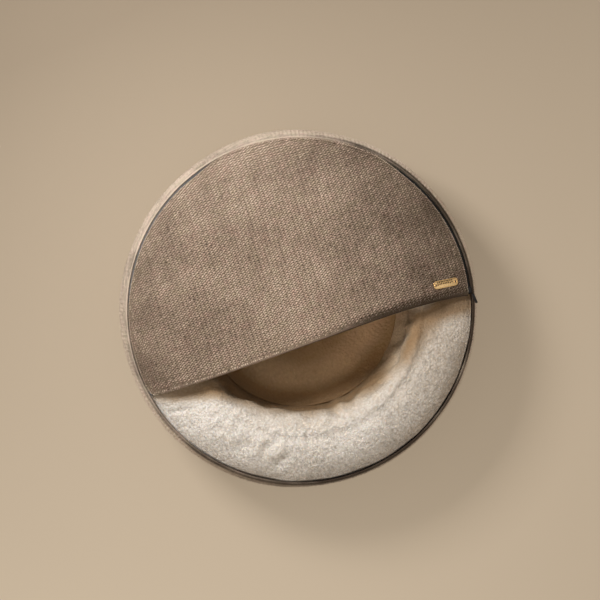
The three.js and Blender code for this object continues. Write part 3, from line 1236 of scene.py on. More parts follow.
@dataclass
class Cover:
    """Domed half cover with a folded, stitched hem."""

    form: BedForm
    finishes: Finishes
    weave: Weave = field(default_factory=Weave)
    # Mesh: columns along the hem, rows that crowd towards it, and finer rows at the round edge.
    columns: int = 220
    rows: int = 44
    row_power: float = 1.5
    edge_share: float = 0.95
    edge_rows: int = 22
    end: float = 8 * MM
    # Cut cloth: what the dome's rise adds to its width and depth, and its area.
    cut_extra: Pair = (0.02, 0.015)
    cut_area: float = 0.158
    # Hem: its rounded fold, its doubled cloth and the stitched groove.
    hem_round: float = 2.2 * MM
    hem_fullness: float = 0.3
    hem_extra: float = 1.5 * MM
    hem_width: float = 12 * MM
    groove: float = 4.6 * MM
    # Reach over the zip: at the back, in degrees from its middle, and at the left, in millimetres.
    lip_reach: float = 4.6 * MM
    lip_middle: float = 74.0
    lip_half: Pair = (26.0, 40.0)
    lip_sides: Table = ((106, 0.0), (120, 1.9), (152, 1.9), (164, 3.3), (188, 3.3), (192, 2.0))
    lip_thickness: float = 0.9 * MM
    lip_start: float = 1.5 * MM
    # Tone of the ground, and the painted shade that deepens all tones at the sides and along the hem.
    tone: float = 0.5
    right_painted_shade: float = 0.36
    left_painted_shade: float = 0.19
    hem_painted_shade: float = 0.3
    hem_painted_shade_along: Pair = (0.42, 0.66)
    hem_painted_shade_reach: Pair = (5 * MM, 17 * MM)
    # Room that the floats leave at an edge, where they reach full size, and their size beside it.
    clear: Pair = (0.7 * MM, 3.0 * MM)
    end_size: float = 0.6
    # Yarns over the hem's fold, thinner towards the right and darker there, a painted shade where the hem
    # rolls under.
    hem_row: EdgeRow = EdgeRow(EDGE_YARN, 3.5 * MM, Weave.slant, 7, (0.62, 0.78))
    hem_rows: tuple[HemRow, ...] = (
        HemRow(2.6 * MM, -0.1 * MM, 0.1), HemRow(0.4 * MM, 0.25 * MM, 0.5), HemRow(-1.4 * MM, 1.5 * MM, 1.6),
    )
    hem_margin: float = 0.003
    hem_wander: float = 0.3 * MM
    hem_thin: tuple[float, Pair] = (0.55, (0.3, 0.6))
    hem_shade_tones: Pair = (0.5, 0.08)
    hem_shade_tones_along: Pair = (0.3, 0.72)
    hem_tone_spread: float = 0.5
    # Dark cord under the hem's right part, a painted shadow under the hem.
    shadow_cord_yarn: YarnFloat = YarnFloat(5.4 * MM, 3.0 * MM, 1.0 * MM, 2)
    shadow_cord_pitch: float = 2.6 * MM
    shadow_cord_along: Pair = (0.38, 0.995)
    shadow_cord_grows: float = 0.12
    shadow_cord_thin: float = 0.3
    shadow_cord_drop: float = 1.8 * MM
    shadow_cord_tone: float = 0.15
    # Stitches in the groove.
    stitch: YarnFloat = YarnFloat(3.2 * MM, 0.9 * MM, 0.5 * MM, 2)
    stitch_pitch: float = 4.4 * MM
    stitch_margin: float = 0.012
    stitches_spared: int = 4
    stitch_sunk: float = 0.2 * MM
    stitch_tone: float = 0.2
    # Yarns along the round edge, with the mean and the spread of their tone.
    edge_row: EdgeRow = EdgeRow(EDGE_YARN, 2.9 * MM, 28, 8, (0.58, 0.72))
    edge_margin: float = 0.004
    edge_inset: float = 0.9 * MM
    edge_tip: float = 0.45
    edge_tone: Pair = (0.55, 0.14)
    # Stray hairs.
    hairs: Hairs = Hairs(5000, 2.4 * MM, 0.15 * MM, 0.6 * MM, upright=0.7, seed=51)
    hair_tone: float = 0.4

    def build(self) -> None:
        """Make the cloth, its yarns, its hairs and the hem's stitches."""
        cloth, points, normals = self.cloth()
        extras = [
            *self.yarns(), self.hem_yarns(), self.hem_shadow_cord(), self.edge_yarns(), self.stitches(),
            self.fuzz(points, normals),
        ]

    def lip(self, bearing: Array) -> Array:
        """How far the cover's edge reaches over the zip.

        Args:
            bearing: Bearings.

        Returns:
            The reach there.
        """
        degrees = np.degrees(bearing)
        back = self.lip_reach * (1 - smoothstep(np.abs(degrees - self.lip_middle), *self.lip_half))
        places, reaches = np.array(self.lip_sides).T
        side = np.interp(degrees % 360, places, reaches, right=0.0) * MM
        return np.maximum(back, side)

    def painted_shade(self, x: Array, y: Array) -> Array:
        """Painted shade: how much deeper the cloth's tone is towards the two sides and along the hem's right
        part.

        Args:
            x, y: Places in plan.

        Returns:
            What is taken from the tone there.
        """
        right = self.right_painted_shade * smoothstep(x, 0.0, self.form.cover_radius)
        left = self.left_painted_shade * smoothstep(-x, 0.0, self.form.cover_radius)
        share, distance = self.form.from_hem(x, y)
        hem = smoothstep(share, *self.hem_painted_shade_along) * (1 - smoothstep(distance, *self.hem_painted_shade_reach))
        return right + left + self.hem_painted_shade * hem

    def plan(self, along: Array, across: Array) -> tuple[Array, Array]:
        """Plan of the cover.

        Args:
            along: Shares along the hem.
            across: Shares back from the hem to the round edge.

        Returns:
            The x and the y of each point.
        """
        form = self.form
        inset = self.end / form.cover_radius
        bearing = lerp(math.pi - form.hem_bearing - inset, form.hem_bearing + inset, along)
        radius = form.cover_radius + self.lip(bearing)
        x = lerp(lerp(-form.half_hem, form.half_hem, along), radius * np.cos(bearing), across)
        y = lerp(form.hem_line(along), radius * np.sin(bearing), across)
        return x, y

    def thickness(self, x: Array, y: Array) -> Array:
        """Thickness of the cloth: doubled at the hem, thin over the zip.

        Args:
            x, y: Places in plan.

        Returns:
            The thickness there.
        """
        form = self.form
        doubled = 1 - smoothstep(form.from_hem(x, y)[1], self.hem_width / 2, self.hem_width)
        beyond = smoothstep(np.hypot(x, y), form.cover_radius - self.lip_start, form.cover_radius)
        over_zip = beyond * (self.lip(np.arctan2(y, x)) > 0)
        return lerp(form.cloth + self.hem_extra * doubled, self.lip_thickness, over_zip)

    def cloth(self) -> tuple[Piece, Array, Array]:
        """The cover's sheet, rounded over at its hem.

        Returns:
            The piece, its top points and their normals.
        """
        along = np.linspace(0, 1, self.columns)[None, :]
        inner = np.linspace(0, self.edge_share, self.rows) ** self.row_power
        outer = np.linspace(inner[-1], 1, self.edge_rows + 1)[1:]
        x, y = self.plan(along, np.concatenate([inner, outer])[:, None])
        top = self.form.on_cover(x, y)
        low = top - UP * self.thickness(x, y)[..., None]
        turn = FOLD_TURNS[:, None, None]
        middle = (top[:1] + low[:1]) / 2
        half = (top[:1, :, 2] - low[:1, :, 2]) / 2
        reach = self.hem_round * np.sin(math.pi * np.clip(along, 0, 1)) ** self.hem_fullness
        out = -np.sin(turn) * reach[..., None]
        fold = middle + np.concatenate([0 * out, out, np.cos(turn) * half[..., None]], axis=-1)
        loop = np.concatenate([fold[::-1], top, low[::-1]])
        rows, cols = loop.shape[:2]
        faces = [grid_faces(rows, cols, True, False)]
        for end in (0, cols - 1):
            going = (np.arange(rows) * cols + end)[: rows // 2]
            back = (np.arange(rows)[::-1] * cols + end)[: rows // 2]
            strip = np.stack([going[:-1], going[1:], back[1:], back[:-1]], axis=-1)
            faces.append(strip if end else strip[:, ::-1])
        points = loop.reshape(-1, 3)
        # The ground's tone, less the painted shade.
        tone = self.tone - self.painted_shade(points[:, 0], points[:, 1])
        piece = mesh_piece("cover_cloth", points, faces, self.finishes.ground, Slot.TWEED, tone)
        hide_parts("cover")
        return piece, top, self.form.cover_normal(x, y)

    def yarns(self) -> list[Piece]:
        """Cords of floats over the top face, up to the hem's groove, and the dark yarns that cross them,
        whose colour also paints the shade of the weave's holes.

        Returns:
            The two pieces.
        """
        weave = self.weave
        span = 2 * (self.form.cover_radius + self.lip_reach)
        cords = weave.lattice(span, span, seed=31)
        return [
            self.layer("cover_yarns", cords, span, weave.rung, self.finishes.yarn),
            self.layer("cover_dots", weave.crossing(cords), span, weave.dot, self.finishes.dark),
        ]

    def layer(
        self, name: str, lattice: Lattice, span: float, yarn: YarnFloat, finish: Material
    ) -> Piece:
        """One layer of yarns, kept off the edges and from under the plate.

        Args:
            name: Name of the piece.
            lattice: Places of its yarns over a square.
            span: Side of that square.
            yarn: The usual yarn.
            finish: Its material.

        Returns:
            The piece.
        """
        form = self.form
        x = lattice.along - span / 2
        y = lattice.up - span / 2
        distance = y - form.hem_line(form.along_hem(x))
        radius = form.cover_radius + self.lip(np.arctan2(y, x))
        near = np.minimum(radius - np.hypot(x, y), distance - self.groove)
        keep = (near > self.clear[0]) & (form.beside_plate(x, y) > 0)
        kept = (values[keep] for values in (x, y, near, lattice.slant, lattice.tone, lattice.size))
        x, y, near, slant, own, size = kept
        normal = form.cover_normal(x, y)
        direction = lay_on(outward_from(slant), normal)
        scale = size * lerp(self.end_size, 1.0, smoothstep(near, *self.clear))
        mesh, faces = yarn.lay(form.on_cover(x, y), direction, normal, scale)
        # The floats' own tones, less the painted shade.
        return mesh_piece(name, mesh, faces, finish, Slot.TWEED, yarn.spread(own - self.painted_shade(x, y)))

    def hem_frame(self, along: Array) -> tuple[Array, Array, Array]:
        """The hem's edge at shares of its length.

        Args:
            along: Shares from the left.

        Returns:
            Points on the edge, directions along it and outward directions, both level.
        """
        form = self.form
        step = 1e-4
        x = lerp(-form.half_hem, form.half_hem, along)
        rise = (form.hem_line(along + step) - form.hem_line(along - step)) / (2 * step)
        heading = unit(np.stack([np.full_like(x, 2 * form.half_hem), rise, 0 * x], axis=-1))
        outward = np.stack([heading[:, 1], -heading[:, 0], 0 * x], axis=-1)
        return form.on_cover(x, form.hem_line(along)), heading, outward

    def hem_yarns(self) -> Piece:
        """Yarns over the hem's fold, in rows from the groove to the edge.

        Returns:
            The piece.
        """
        random = np.random.default_rng(41)
        count = int(2 * self.form.half_hem / self.hem_row.pitch)
        along = np.linspace(self.hem_margin, 1 - self.hem_margin, count)
        edge, heading, outward = self.hem_frame(along)
        thinner, thin_along = self.hem_thin
        # Painted shade: the hem's yarns darker towards the right, where the hem rolls under.
        pale = lerp(*self.hem_shade_tones, smoothstep(along, *self.hem_shade_tones_along))
        shapes = []
        tones = []
        for row in self.hem_rows:
            place = edge - outward * row.back + heading * random.normal(0, self.hem_wander, (count, 1))
            place[:, 2] = self.form.cover_top(place[:, 0], edge[:, 1] + max(row.back, 0)) - row.drop
            shrink = lerp(1.0, 1 - thinner * row.tip, smoothstep(along, *thin_along))
            shapes.append(self.hem_row.lay(place, heading, outward, row.tip, random, shrink))
            tones.append(np.clip(pale * (1 + random.normal(0, self.hem_tone_spread, count)), 0, 1))
        starts = np.cumsum([0] + [len(points) for points, _ in shapes])
        faces = [block + start for (_, blocks), start in zip(shapes, starts) for block in blocks]
        mesh = np.concatenate([points for points, _ in shapes])
        tone = self.hem_row.yarn.spread(np.concatenate(tones))
        return mesh_piece("cover_hem_yarns", mesh, faces, self.finishes.edge, Slot.TWEED, tone)

    def hem_shadow_cord(self) -> Piece:
        """Thin dark cord along the lower edge of the hem's right part, a painted shadow under the hem.

        Returns:
            The piece.
        """
        start, end = self.shadow_cord_along
        count = int(2 * self.form.half_hem * (1 - start) / self.shadow_cord_pitch)
        along = np.linspace(start, end, count)
        edge, heading, outward = self.hem_frame(along)
        centre = edge + outward * self.hem_round - UP * self.shadow_cord_drop
        grown = smoothstep(along, start, start + self.shadow_cord_grows)
        size = lerp(self.shadow_cord_thin, 1.0, grown)
        mesh, faces = self.shadow_cord_yarn.lay(centre, heading, unit(outward + UP), size)
        tone = np.full(len(mesh), self.shadow_cord_tone)
        return mesh_piece("cover_hem_shadow_cord", mesh, faces, self.finishes.dark, Slot.TWEED, tone)

    def stitches(self) -> Piece:
        """The line of stitches in the hem's groove.

        Returns:
            The piece.
        """
        form = self.form
        count = int(2 * form.half_hem / self.stitch_pitch) - self.stitches_spared
        along = np.linspace(self.stitch_margin, 1 - self.stitch_margin, count)
        edge, heading, outward = self.hem_frame(along)
        x, y, _ = (edge - outward * self.groove).T
        normal = form.cover_normal(x, y)
        centre = form.on_cover(x, y) - UP * self.stitch_sunk
        mesh, faces = self.stitch.lay(centre, lay_on(heading, normal), normal, np.ones(count))
        tone = np.full(len(mesh), self.stitch_tone)
        return mesh_piece("cover_stitches", mesh, faces, self.finishes.yarn, Slot.TWEED, tone)

    def edge_yarns(self) -> Piece:
        """Yarns along the cover's round edge, beside the zip.

        Returns:
            The piece.
        """
        form = self.form
        random = np.random.default_rng(44)
        turn = math.pi - 2 * form.hem_bearing
        count = int(turn * form.cover_radius / self.edge_row.pitch)
        bearing = form.hem_bearing + np.linspace(self.edge_margin, 1 - self.edge_margin, count) * turn
        outward = outward_from(bearing)
        x, y, _ = ((form.cover_radius + self.lip(bearing) - self.edge_inset)[:, None] * outward).T
        round_it = outward_from(bearing + math.pi / 2)
        mesh, faces = self.edge_row.lay(form.on_cover(x, y), round_it, outward, self.edge_tip, random)
        tone = self.edge_row.yarn.spread(np.clip(random.normal(*self.edge_tone, count), 0, 1))
        return mesh_piece("cover_edge_yarns", mesh, faces, self.finishes.yarn, Slot.TWEED, tone)

    def fuzz(self, points: Array, normals: Array) -> Piece:
        """Stray hairs over the cover.

        Args:
            points: The cover's top points.
            normals: Their normals.

        Returns:
            The piece.
        """
        mesh, faces = self.hairs.grow(points, normals, np.ones(points.shape[:2]))
        tone = np.full(len(mesh), self.hair_tone)
        return mesh_piece("cover_fuzz", mesh, faces, self.finishes.fuzz, Slot.TWEED, tone)


@dataclass(frozen=True)
class Crease:
    """A soft trough pressed into the fleece, or a ridge where its depth is below 0. Angles are in degrees."""

    bearing: float
    radius: float
    length: float
    width: float
    depth: float
    lean: float
    side_ridge: float = 0.4

    def depth_at(self, x: Array, y: Array) -> Array:
        """Depth pressed in at places in plan.

        Args:
            x, y: Places in plan.

        Returns:
            The depth there.
        """
        angle = math.radians(self.bearing)
        lean = math.radians(self.lean)
        dx = x - self.radius * math.cos(angle)
        dy = y - self.radius * math.sin(angle)
        along = (dx * math.cos(lean) + dy * math.sin(lean)) / (self.length / 2)
        across = (-dx * math.sin(lean) + dy * math.cos(lean)) / self.width
        ridges = self.side_ridge * np.exp(-((np.abs(across) - 2.0) ** 2))
        return self.depth * np.exp(-(along**4)) * (np.exp(-(across**2)) - ridges)


@dataclass(frozen=True)
class Pile:
    """Tufts of fleece that lean a little and take the light as one soft nap."""

    count: int
    length: float
    radius: float
    seed: int
    # Lean, length and width of a tuft, and how deep its root lies.
    lean: float = 0.5
    upright: float = 0.75
    lengths: Pair = (0.65, 1.15)
    widths: Pair = (0.8, 1.2)
    sunk: float = 0.8 * MM
    # How its lean shows in its shading, and its changes of tone, which are less in the dark.
    nap: float = 0.12
    tone_spread: float = 0.05
    least: float = 0.2
    shifts: tuple[float, ...] = (-0.04, -0.04, -0.04, 0.06)

    def roots(self, points: Array, normals: Array, weight: Array) -> tuple[Array, Array]:
        """Places of the tufts on a grid surface, and the normals there."""
        return scatter(points, normals, weight, self.count, self.seed)

    def grow(
        self, name: str, roots: Array, normal: Array, finish: Material, tone: Array, warmth: Array
    ) -> Piece:
        """Grow the tufts.

        Args:
            name: Name of the piece.
            roots: Where they stand.
            normal: Normals of the skin there.
            finish: Material of the pile.
            tone: Tone of each tuft.
            warmth: How warm its painted shade is.

        Returns:
            The new piece.
        """
        random = np.random.default_rng(self.seed + 1)
        lean = random.normal(0, self.lean, roots.shape)
        lean -= normal * np.sum(lean * normal, axis=-1, keepdims=True)
        direction = unit(normal * self.upright + lean)
        length = self.length * random.uniform(*self.lengths, (self.count, 1))
        width = self.radius * random.uniform(*self.widths, self.count)
        mesh, faces = spikes(roots - normal * self.sunk, direction * length, width, self.seed + 6)
        lively = np.clip(tone, self.least, 1.0)
        tone = tone + lively * random.normal(0, self.tone_spread, self.count)
        tones = tone[:, None] + lively[:, None] * np.array(self.shifts)
        nap = np.repeat(unit(normal + self.nap * lean), 4, axis=0)
        return mesh_piece(name, mesh, faces, finish, Slot.FLEECE, tones.ravel(), nap, np.repeat(warmth, 4))


@dataclass
class Bolster:
    """Filled fleece ring with a sewn channel round its top."""

    form: BedForm
    finishes: Finishes
    fill: float = 0.75
    # Columns and rows of the mesh: outer side, band up to the channel, roll and wall of the well.
    bearings: int = 640
    side_rows: int = 12
    band_rows: int = 36
    roll_rows: int = 40
    wall_rows: int = 14
    # Outer edge and crown, under the cover and in the open front. The band is in sines of the bearing.
    open_band: Pair = (0.21, 0.75)
    open_edge: float = 164 * MM
    covered_edge: float = 158.5 * MM
    open_crown: float = 28 * MM
    covered_crown: float = 8 * MM
    crown_waves: tuple[Wave, ...] = (Wave(1, -65, 5 * MM), Wave(4, 80, 1.1 * MM), Wave(9, 10, 0.8 * MM))
    band_power: float = 2.2
    # Sewn channel, with the seam at its bottom and the puckers on both sides of it.
    channel_radius: float = 208 * MM
    channel_depth: float = 0.8 * MM
    channel_width: float = 5.0 * MM
    seam_depth: float = 1.8 * MM
    seam_width: float = 1.0 * MM
    puckers: Lumps = Lumps(0.6 * MM, 9 * MM, 61)
    pucker_place: float = 9 * MM
    pucker_width: float = 8 * MM
    # Roll over the well's edge, fullest at one bearing, and the wall below it as radii and heights.
    roll_centre: float = 196 * MM
    roll_radius: float = 175 * MM
    roll_fullness: float = 11 * MM
    roll_fullest: float = 258.0
    roll_sharpness: float = 4.0
    roll_depth: float = 33 * MM
    roll_rise: float = 1.0 * MM
    roll_turns: Pair = (76.0, 205.0)
    roll_waves: tuple[Wave, ...] = (Wave(3, 200, 1.6 * MM), Wave(7, 35, 1.5 * MM), Wave(12, 110, 0.9 * MM))
    well_wall: Table = ((171 * MM, 120 * MM), (166 * MM, 94 * MM), (158.5 * MM, 72 * MM), (153 * MM, 50 * MM))
    well_foot: float = 150 * MM
    well_blend: float = 30 * MM
    # Skin below the pile's tips, its lumps and creases, and where they show.
    inset: float = 2.6 * MM
    lumps: tuple[Lumps, ...] = (Lumps(0.7 * MM, 32 * MM, 62), Lumps(0.2 * MM, 5.5 * MM, 63))
    roll_lumps: Lumps = Lumps(2.0 * MM, 17 * MM, 64)
    roll_lumps_from: Pair = (6 * MM, 20 * MM)
    shown_band: Pair = (60 * MM, 130 * MM)
    top_facing: Pair = (0.05, 0.4)
    crease_band: Pair = (135 * MM, 155 * MM)
    creases: tuple[Crease, ...] = (
        Crease(202.5, 251 * MM, 50 * MM, 4.0 * MM, 1.4 * MM, -4),
        Crease(217, 234 * MM, 26 * MM, 6.0 * MM, 1.8 * MM, -18),
        Crease(239, 223 * MM, 38 * MM, 7.5 * MM, 2.4 * MM, 24),
        Crease(245, 247 * MM, 34 * MM, 6.5 * MM, 2.0 * MM, 30),
        Crease(229.5, 237 * MM, 36 * MM, 10.0 * MM, 2.0 * MM, 10),
        Crease(337.5, 186 * MM, 28 * MM, 4.6 * MM, 1.3 * MM, -20),
        Crease(326.7, 172 * MM, 36 * MM, 4.0 * MM, 4.2 * MM, 38),
        Crease(312.6, 170 * MM, 22 * MM, 5.0 * MM, 2.6 * MM, 10),
        Crease(275.5, 164 * MM, 28 * MM, 9.0 * MM, -5.0 * MM, 80),
    )
    # Tones: lit top of skin and pile, and how far painted shade deepens them to the right, at the rim and on
    # the roll.
    skin_tone: float = 0.9
    pile_tone: float = 0.95
    right_painted_shade: float = 0.3
    right_reach: float = 230 * MM
    rim_painted_shade: float = 0.16
    rim_painted_shade_band: Pair = (258 * MM, 278 * MM)
    rim_painted_shade_front: float = 200 * MM
    roll_painted_shade: float = 0.2
    roll_painted_shade_band: Pair = (4 * MM, 30 * MM)
    # Painted shade down the inner side, and painted light at its right end.
    inner_painted_shade_tone: float = 0.0
    deep_band: Pair = (-6 * MM, 22 * MM)
    right_painted_light_tone: float = 0.84
    right_along: Pair = (0.66, 0.76)
    high_band: Pair = (128 * MM, 190 * MM)
    # Painted shade under the hem at shares of its length: reach and fade in millimetres, tone, and the
    # painted light that lifts it close to the hem.
    hem_reach: Table = (
        (0.0, 15), (0.03, 18), (0.06, 23), (0.09, 24.5), (0.12, 28.5), (0.15, 32), (0.18, 36), (0.22, 47),
        (0.26, 60), (0.4, 84), (0.66, 86), (0.7, 88), (0.76, 84), (0.8, 68), (0.84, 52), (0.87, 44),
        (0.9, 34), (0.93, 32), (1.0, 32),
    )
    hem_fade: Table = (
        (0.0, 25), (0.7, 30), (0.76, 44), (0.8, 60), (0.84, 56), (0.87, 44), (0.9, 30), (1.0, 26),
    )
    hem_shade_tones: Table = (
        (0.0, 0.12), (0.12, 0.16), (0.17, 0.12), (0.2, 0.0), (0.68, -0.05), (0.72, -0.1), (0.76, -0.15),
        (0.8, -0.2), (0.84, -0.2), (0.87, -0.35), (0.91, -0.75), (1.0, -0.75),
    )
    near_hem: Pair = (4 * MM, 20 * MM)
    painted_light_near_hem: Table = (
        (0.0, 0.15), (0.2, 0.1), (0.7, 0.05), (0.78, 0.6), (0.84, 1.0), (0.88, 0.6), (0.92, 0.2), (1.0, 0.1),
    )
    # Pile, thinner under the cover, and where it sets in: height, facing, beside the channel and the wall.
    tufts: Pile = Pile(49500, 3.2 * MM, 0.62 * MM, seed=71)
    covered_share: float = 0.28
    covered_band: Pair = (-0.1, 0.25)
    inner_share: float = 0.85
    tuft_height: Pair = (60 * MM, 84 * MM)
    tuft_facing: Pair = (-0.05, 0.15)
    beside_channel: Pair = (0.8 * MM, 1.8 * MM)
    beside_wall: Pair = (3.4 * MM, 4.5 * MM)

    def build(self) -> None:
        """Make the ring and its pile."""
        points, normals = self.surface()
        rows, cols = points.shape[:2]
        tone, warmth = self.tone(points, self.skin_tone)
        skin = mesh_piece(
            "bolster_fleece", points.reshape(-1, 3), [grid_faces(rows, cols, True, True)],
            self.finishes.skin, Slot.FLEECE, tone.ravel(), warmth=warmth.ravel(),
        )
        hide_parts("bolster")
        roots, normal = self.tufts.roots(points, normals, self.pile_weight(points, normals))
        tone, warmth = self.tone(roots, self.pile_tone)
        self.tufts.grow("bolster_pile", roots, normal, self.finishes.pile, tone, warmth)

    def tone(self, points: Array, lit: float) -> tuple[Array, Array]:
        """Tone of the fleece, with light and shade painted in: lit on top, painted shade down its inner side
        and close under the hem.

        Args:
            points: Places on the fleece.
            lit: Tone of its lit top.

        Returns:
            The tone, and how warm its shade is.
        """
        x, y, z = (points[..., axis] for axis in range(3))
        radius = radius_of(points)
        # Painted shade deepens the top to the right, at the front rim and on the roll.
        top = lit - self.right_painted_shade * smoothstep(x, 0.0, self.right_reach)
        at_rim = smoothstep(radius, *self.rim_painted_shade_band) * smoothstep(-y, 0.0, self.rim_painted_shade_front)
        top = top - self.rim_painted_shade * at_rim
        top = top - self.roll_painted_shade * smoothstep(self.channel_radius - radius, *self.roll_painted_shade_band)
        high = smoothstep(z, *self.high_band)
        along = np.clip(self.form.along_hem(x), 0, 1)
        inner = lerp(self.inner_painted_shade_tone, self.right_painted_light_tone, smoothstep(along, *self.right_along))
        deep = smoothstep(self.roll_centre - radius, *self.deep_band) * (1 - high**2)
        ahead = self.form.hem_line(along) - y
        from_shade = (ahead - look_up(self.hem_reach, along) * MM) / (look_up(self.hem_fade, along) * MM)
        hem = high * (1 - smoothstep(from_shade, -0.5, 0.5))
        lift = look_up(self.painted_light_near_hem, along) * (1 - smoothstep(ahead, *self.near_hem))
        tone = lerp(lerp(top, inner, deep), look_up(self.hem_shade_tones, along) + lift, hem)
        return tone, 1 - (1 - deep) * (1 - hem**2)

    def section(self, bearing: Array) -> Array:
        """Points of the ring's section, from its foot outside over the top to its foot inside.

        Args:
            bearing: Bearings, as one row.

        Returns:
            Points, rows by bearings by 3.
        """
        form = self.form
        share = smoothstep(-np.sin(bearing), *self.open_band)
        floor = form.cloth + form.gap
        edge = lerp(self.covered_edge, self.open_edge, share)
        crown = form.rim_height + lerp(self.covered_crown, self.open_crown, share)
        crown = crown + ripple(self.crown_waves, bearing)
        height = lerp(floor, edge, np.linspace(0, 1, self.side_rows)[:, None])
        side = polar(form.wall_radius(height, bearing) - floor, bearing, height)
        rim = form.wall_radius(edge, bearing) - floor
        step = np.linspace(0, 1, self.band_rows)[1:-1, None]
        rise = lerp(edge, crown, 1 - (1 - step) ** self.band_power)
        band = polar(lerp(rim, self.channel_radius, step), bearing, rise)
        facing = np.maximum(0, np.cos(bearing - math.radians(self.roll_fullest)))
        inside = self.roll_radius - self.roll_fullness * facing**self.roll_sharpness
        half = self.roll_centre - (inside + ripple(self.roll_waves, bearing))
        turn = np.radians(np.linspace(*self.roll_turns, self.roll_rows))[:, None]
        roll_height = crown + self.roll_rise + self.roll_depth * (np.sin(turn) - 1)
        roll = polar(self.roll_centre + half * np.cos(turn), bearing, roll_height)
        radii, heights = np.array([(self.well_foot, floor), *self.well_wall[::-1]]).T
        start = roll[-1, :, 2]
        depth = lerp(start, floor, np.linspace(0, 1, self.wall_rows)[1:, None])
        near = smoothstep((start - depth) / self.well_blend, 0.0, 1.0)
        wall = polar(lerp(radius_of(roll[-1]), np.interp(depth, heights, radii), near), bearing, depth)
        return np.concatenate([side, band, roll, wall])

    def surface(self) -> tuple[Array, Array]:
        """The ring's skin with its channel, puckers and creases.

        Returns:
            Points, rows by bearings by 3, and their normals.
        """
        bearing = full_turn(self.bearings)[None, :]
        points = self.section(bearing)
        normals = grid_normals(points, True, True)
        height = points[..., 2]
        radius = radius_of(points)
        from_channel = radius - self.channel_radius
        channel = self.channel_depth * np.exp(-((from_channel / self.channel_width) ** 2))
        channel += self.seam_depth * np.exp(-((from_channel / self.seam_width) ** 2))
        around = polar(self.channel_radius + 0 * radius, bearing + 0 * radius, 0 * radius)
        beside = np.exp(-((np.abs(from_channel) - self.pucker_place) / self.pucker_width) ** 2)
        pucker = self.puckers.at(around) * beside
        dent = sum(crease.depth_at(points[..., 0], points[..., 1]) for crease in self.creases)
        lumps = sum(kind.at(points) for kind in self.lumps)
        on_roll = smoothstep(self.roll_centre - radius, *self.roll_lumps_from)
        lumps += self.roll_lumps.at(points) * on_roll
        top = smoothstep(normals[..., 2], *self.top_facing)
        shown = smoothstep(height, *self.shown_band)
        above = np.maximum(top, smoothstep(height, *self.crease_band))
        move = shown * (lumps - self.inset) + top * (pucker - channel) - above * dent
        points = points + normals * move[..., None]
        return points, grid_normals(points, True, True)

    def pile_weight(self, points: Array, normals: Array) -> Array:
        """Density of the pile: full in the open front, thinner where the cover hides it.

        Args:
            points: The skin's points.
            normals: Their normals.

        Returns:
            Share of the full density at each point.
        """
        bearing = bearing_of(points)
        radius = radius_of(points)
        height = points[..., 2]
        inward = radius < self.roll_centre
        weight = lerp(self.covered_share, 1.0, smoothstep(-np.sin(bearing), *self.covered_band))
        weight *= smoothstep(height, *self.tuft_height)
        weight *= np.where(inward, self.inner_share, smoothstep(normals[..., 2], *self.tuft_facing))
        weight *= smoothstep(np.abs(radius - self.channel_radius), *self.beside_channel)
        from_wall = self.form.wall_radius(height, bearing) - radius
        weight *= np.where(inward, 1.0, smoothstep(from_wall, *self.beside_wall))
        weight[: self.side_rows] = 0.0
        return weight


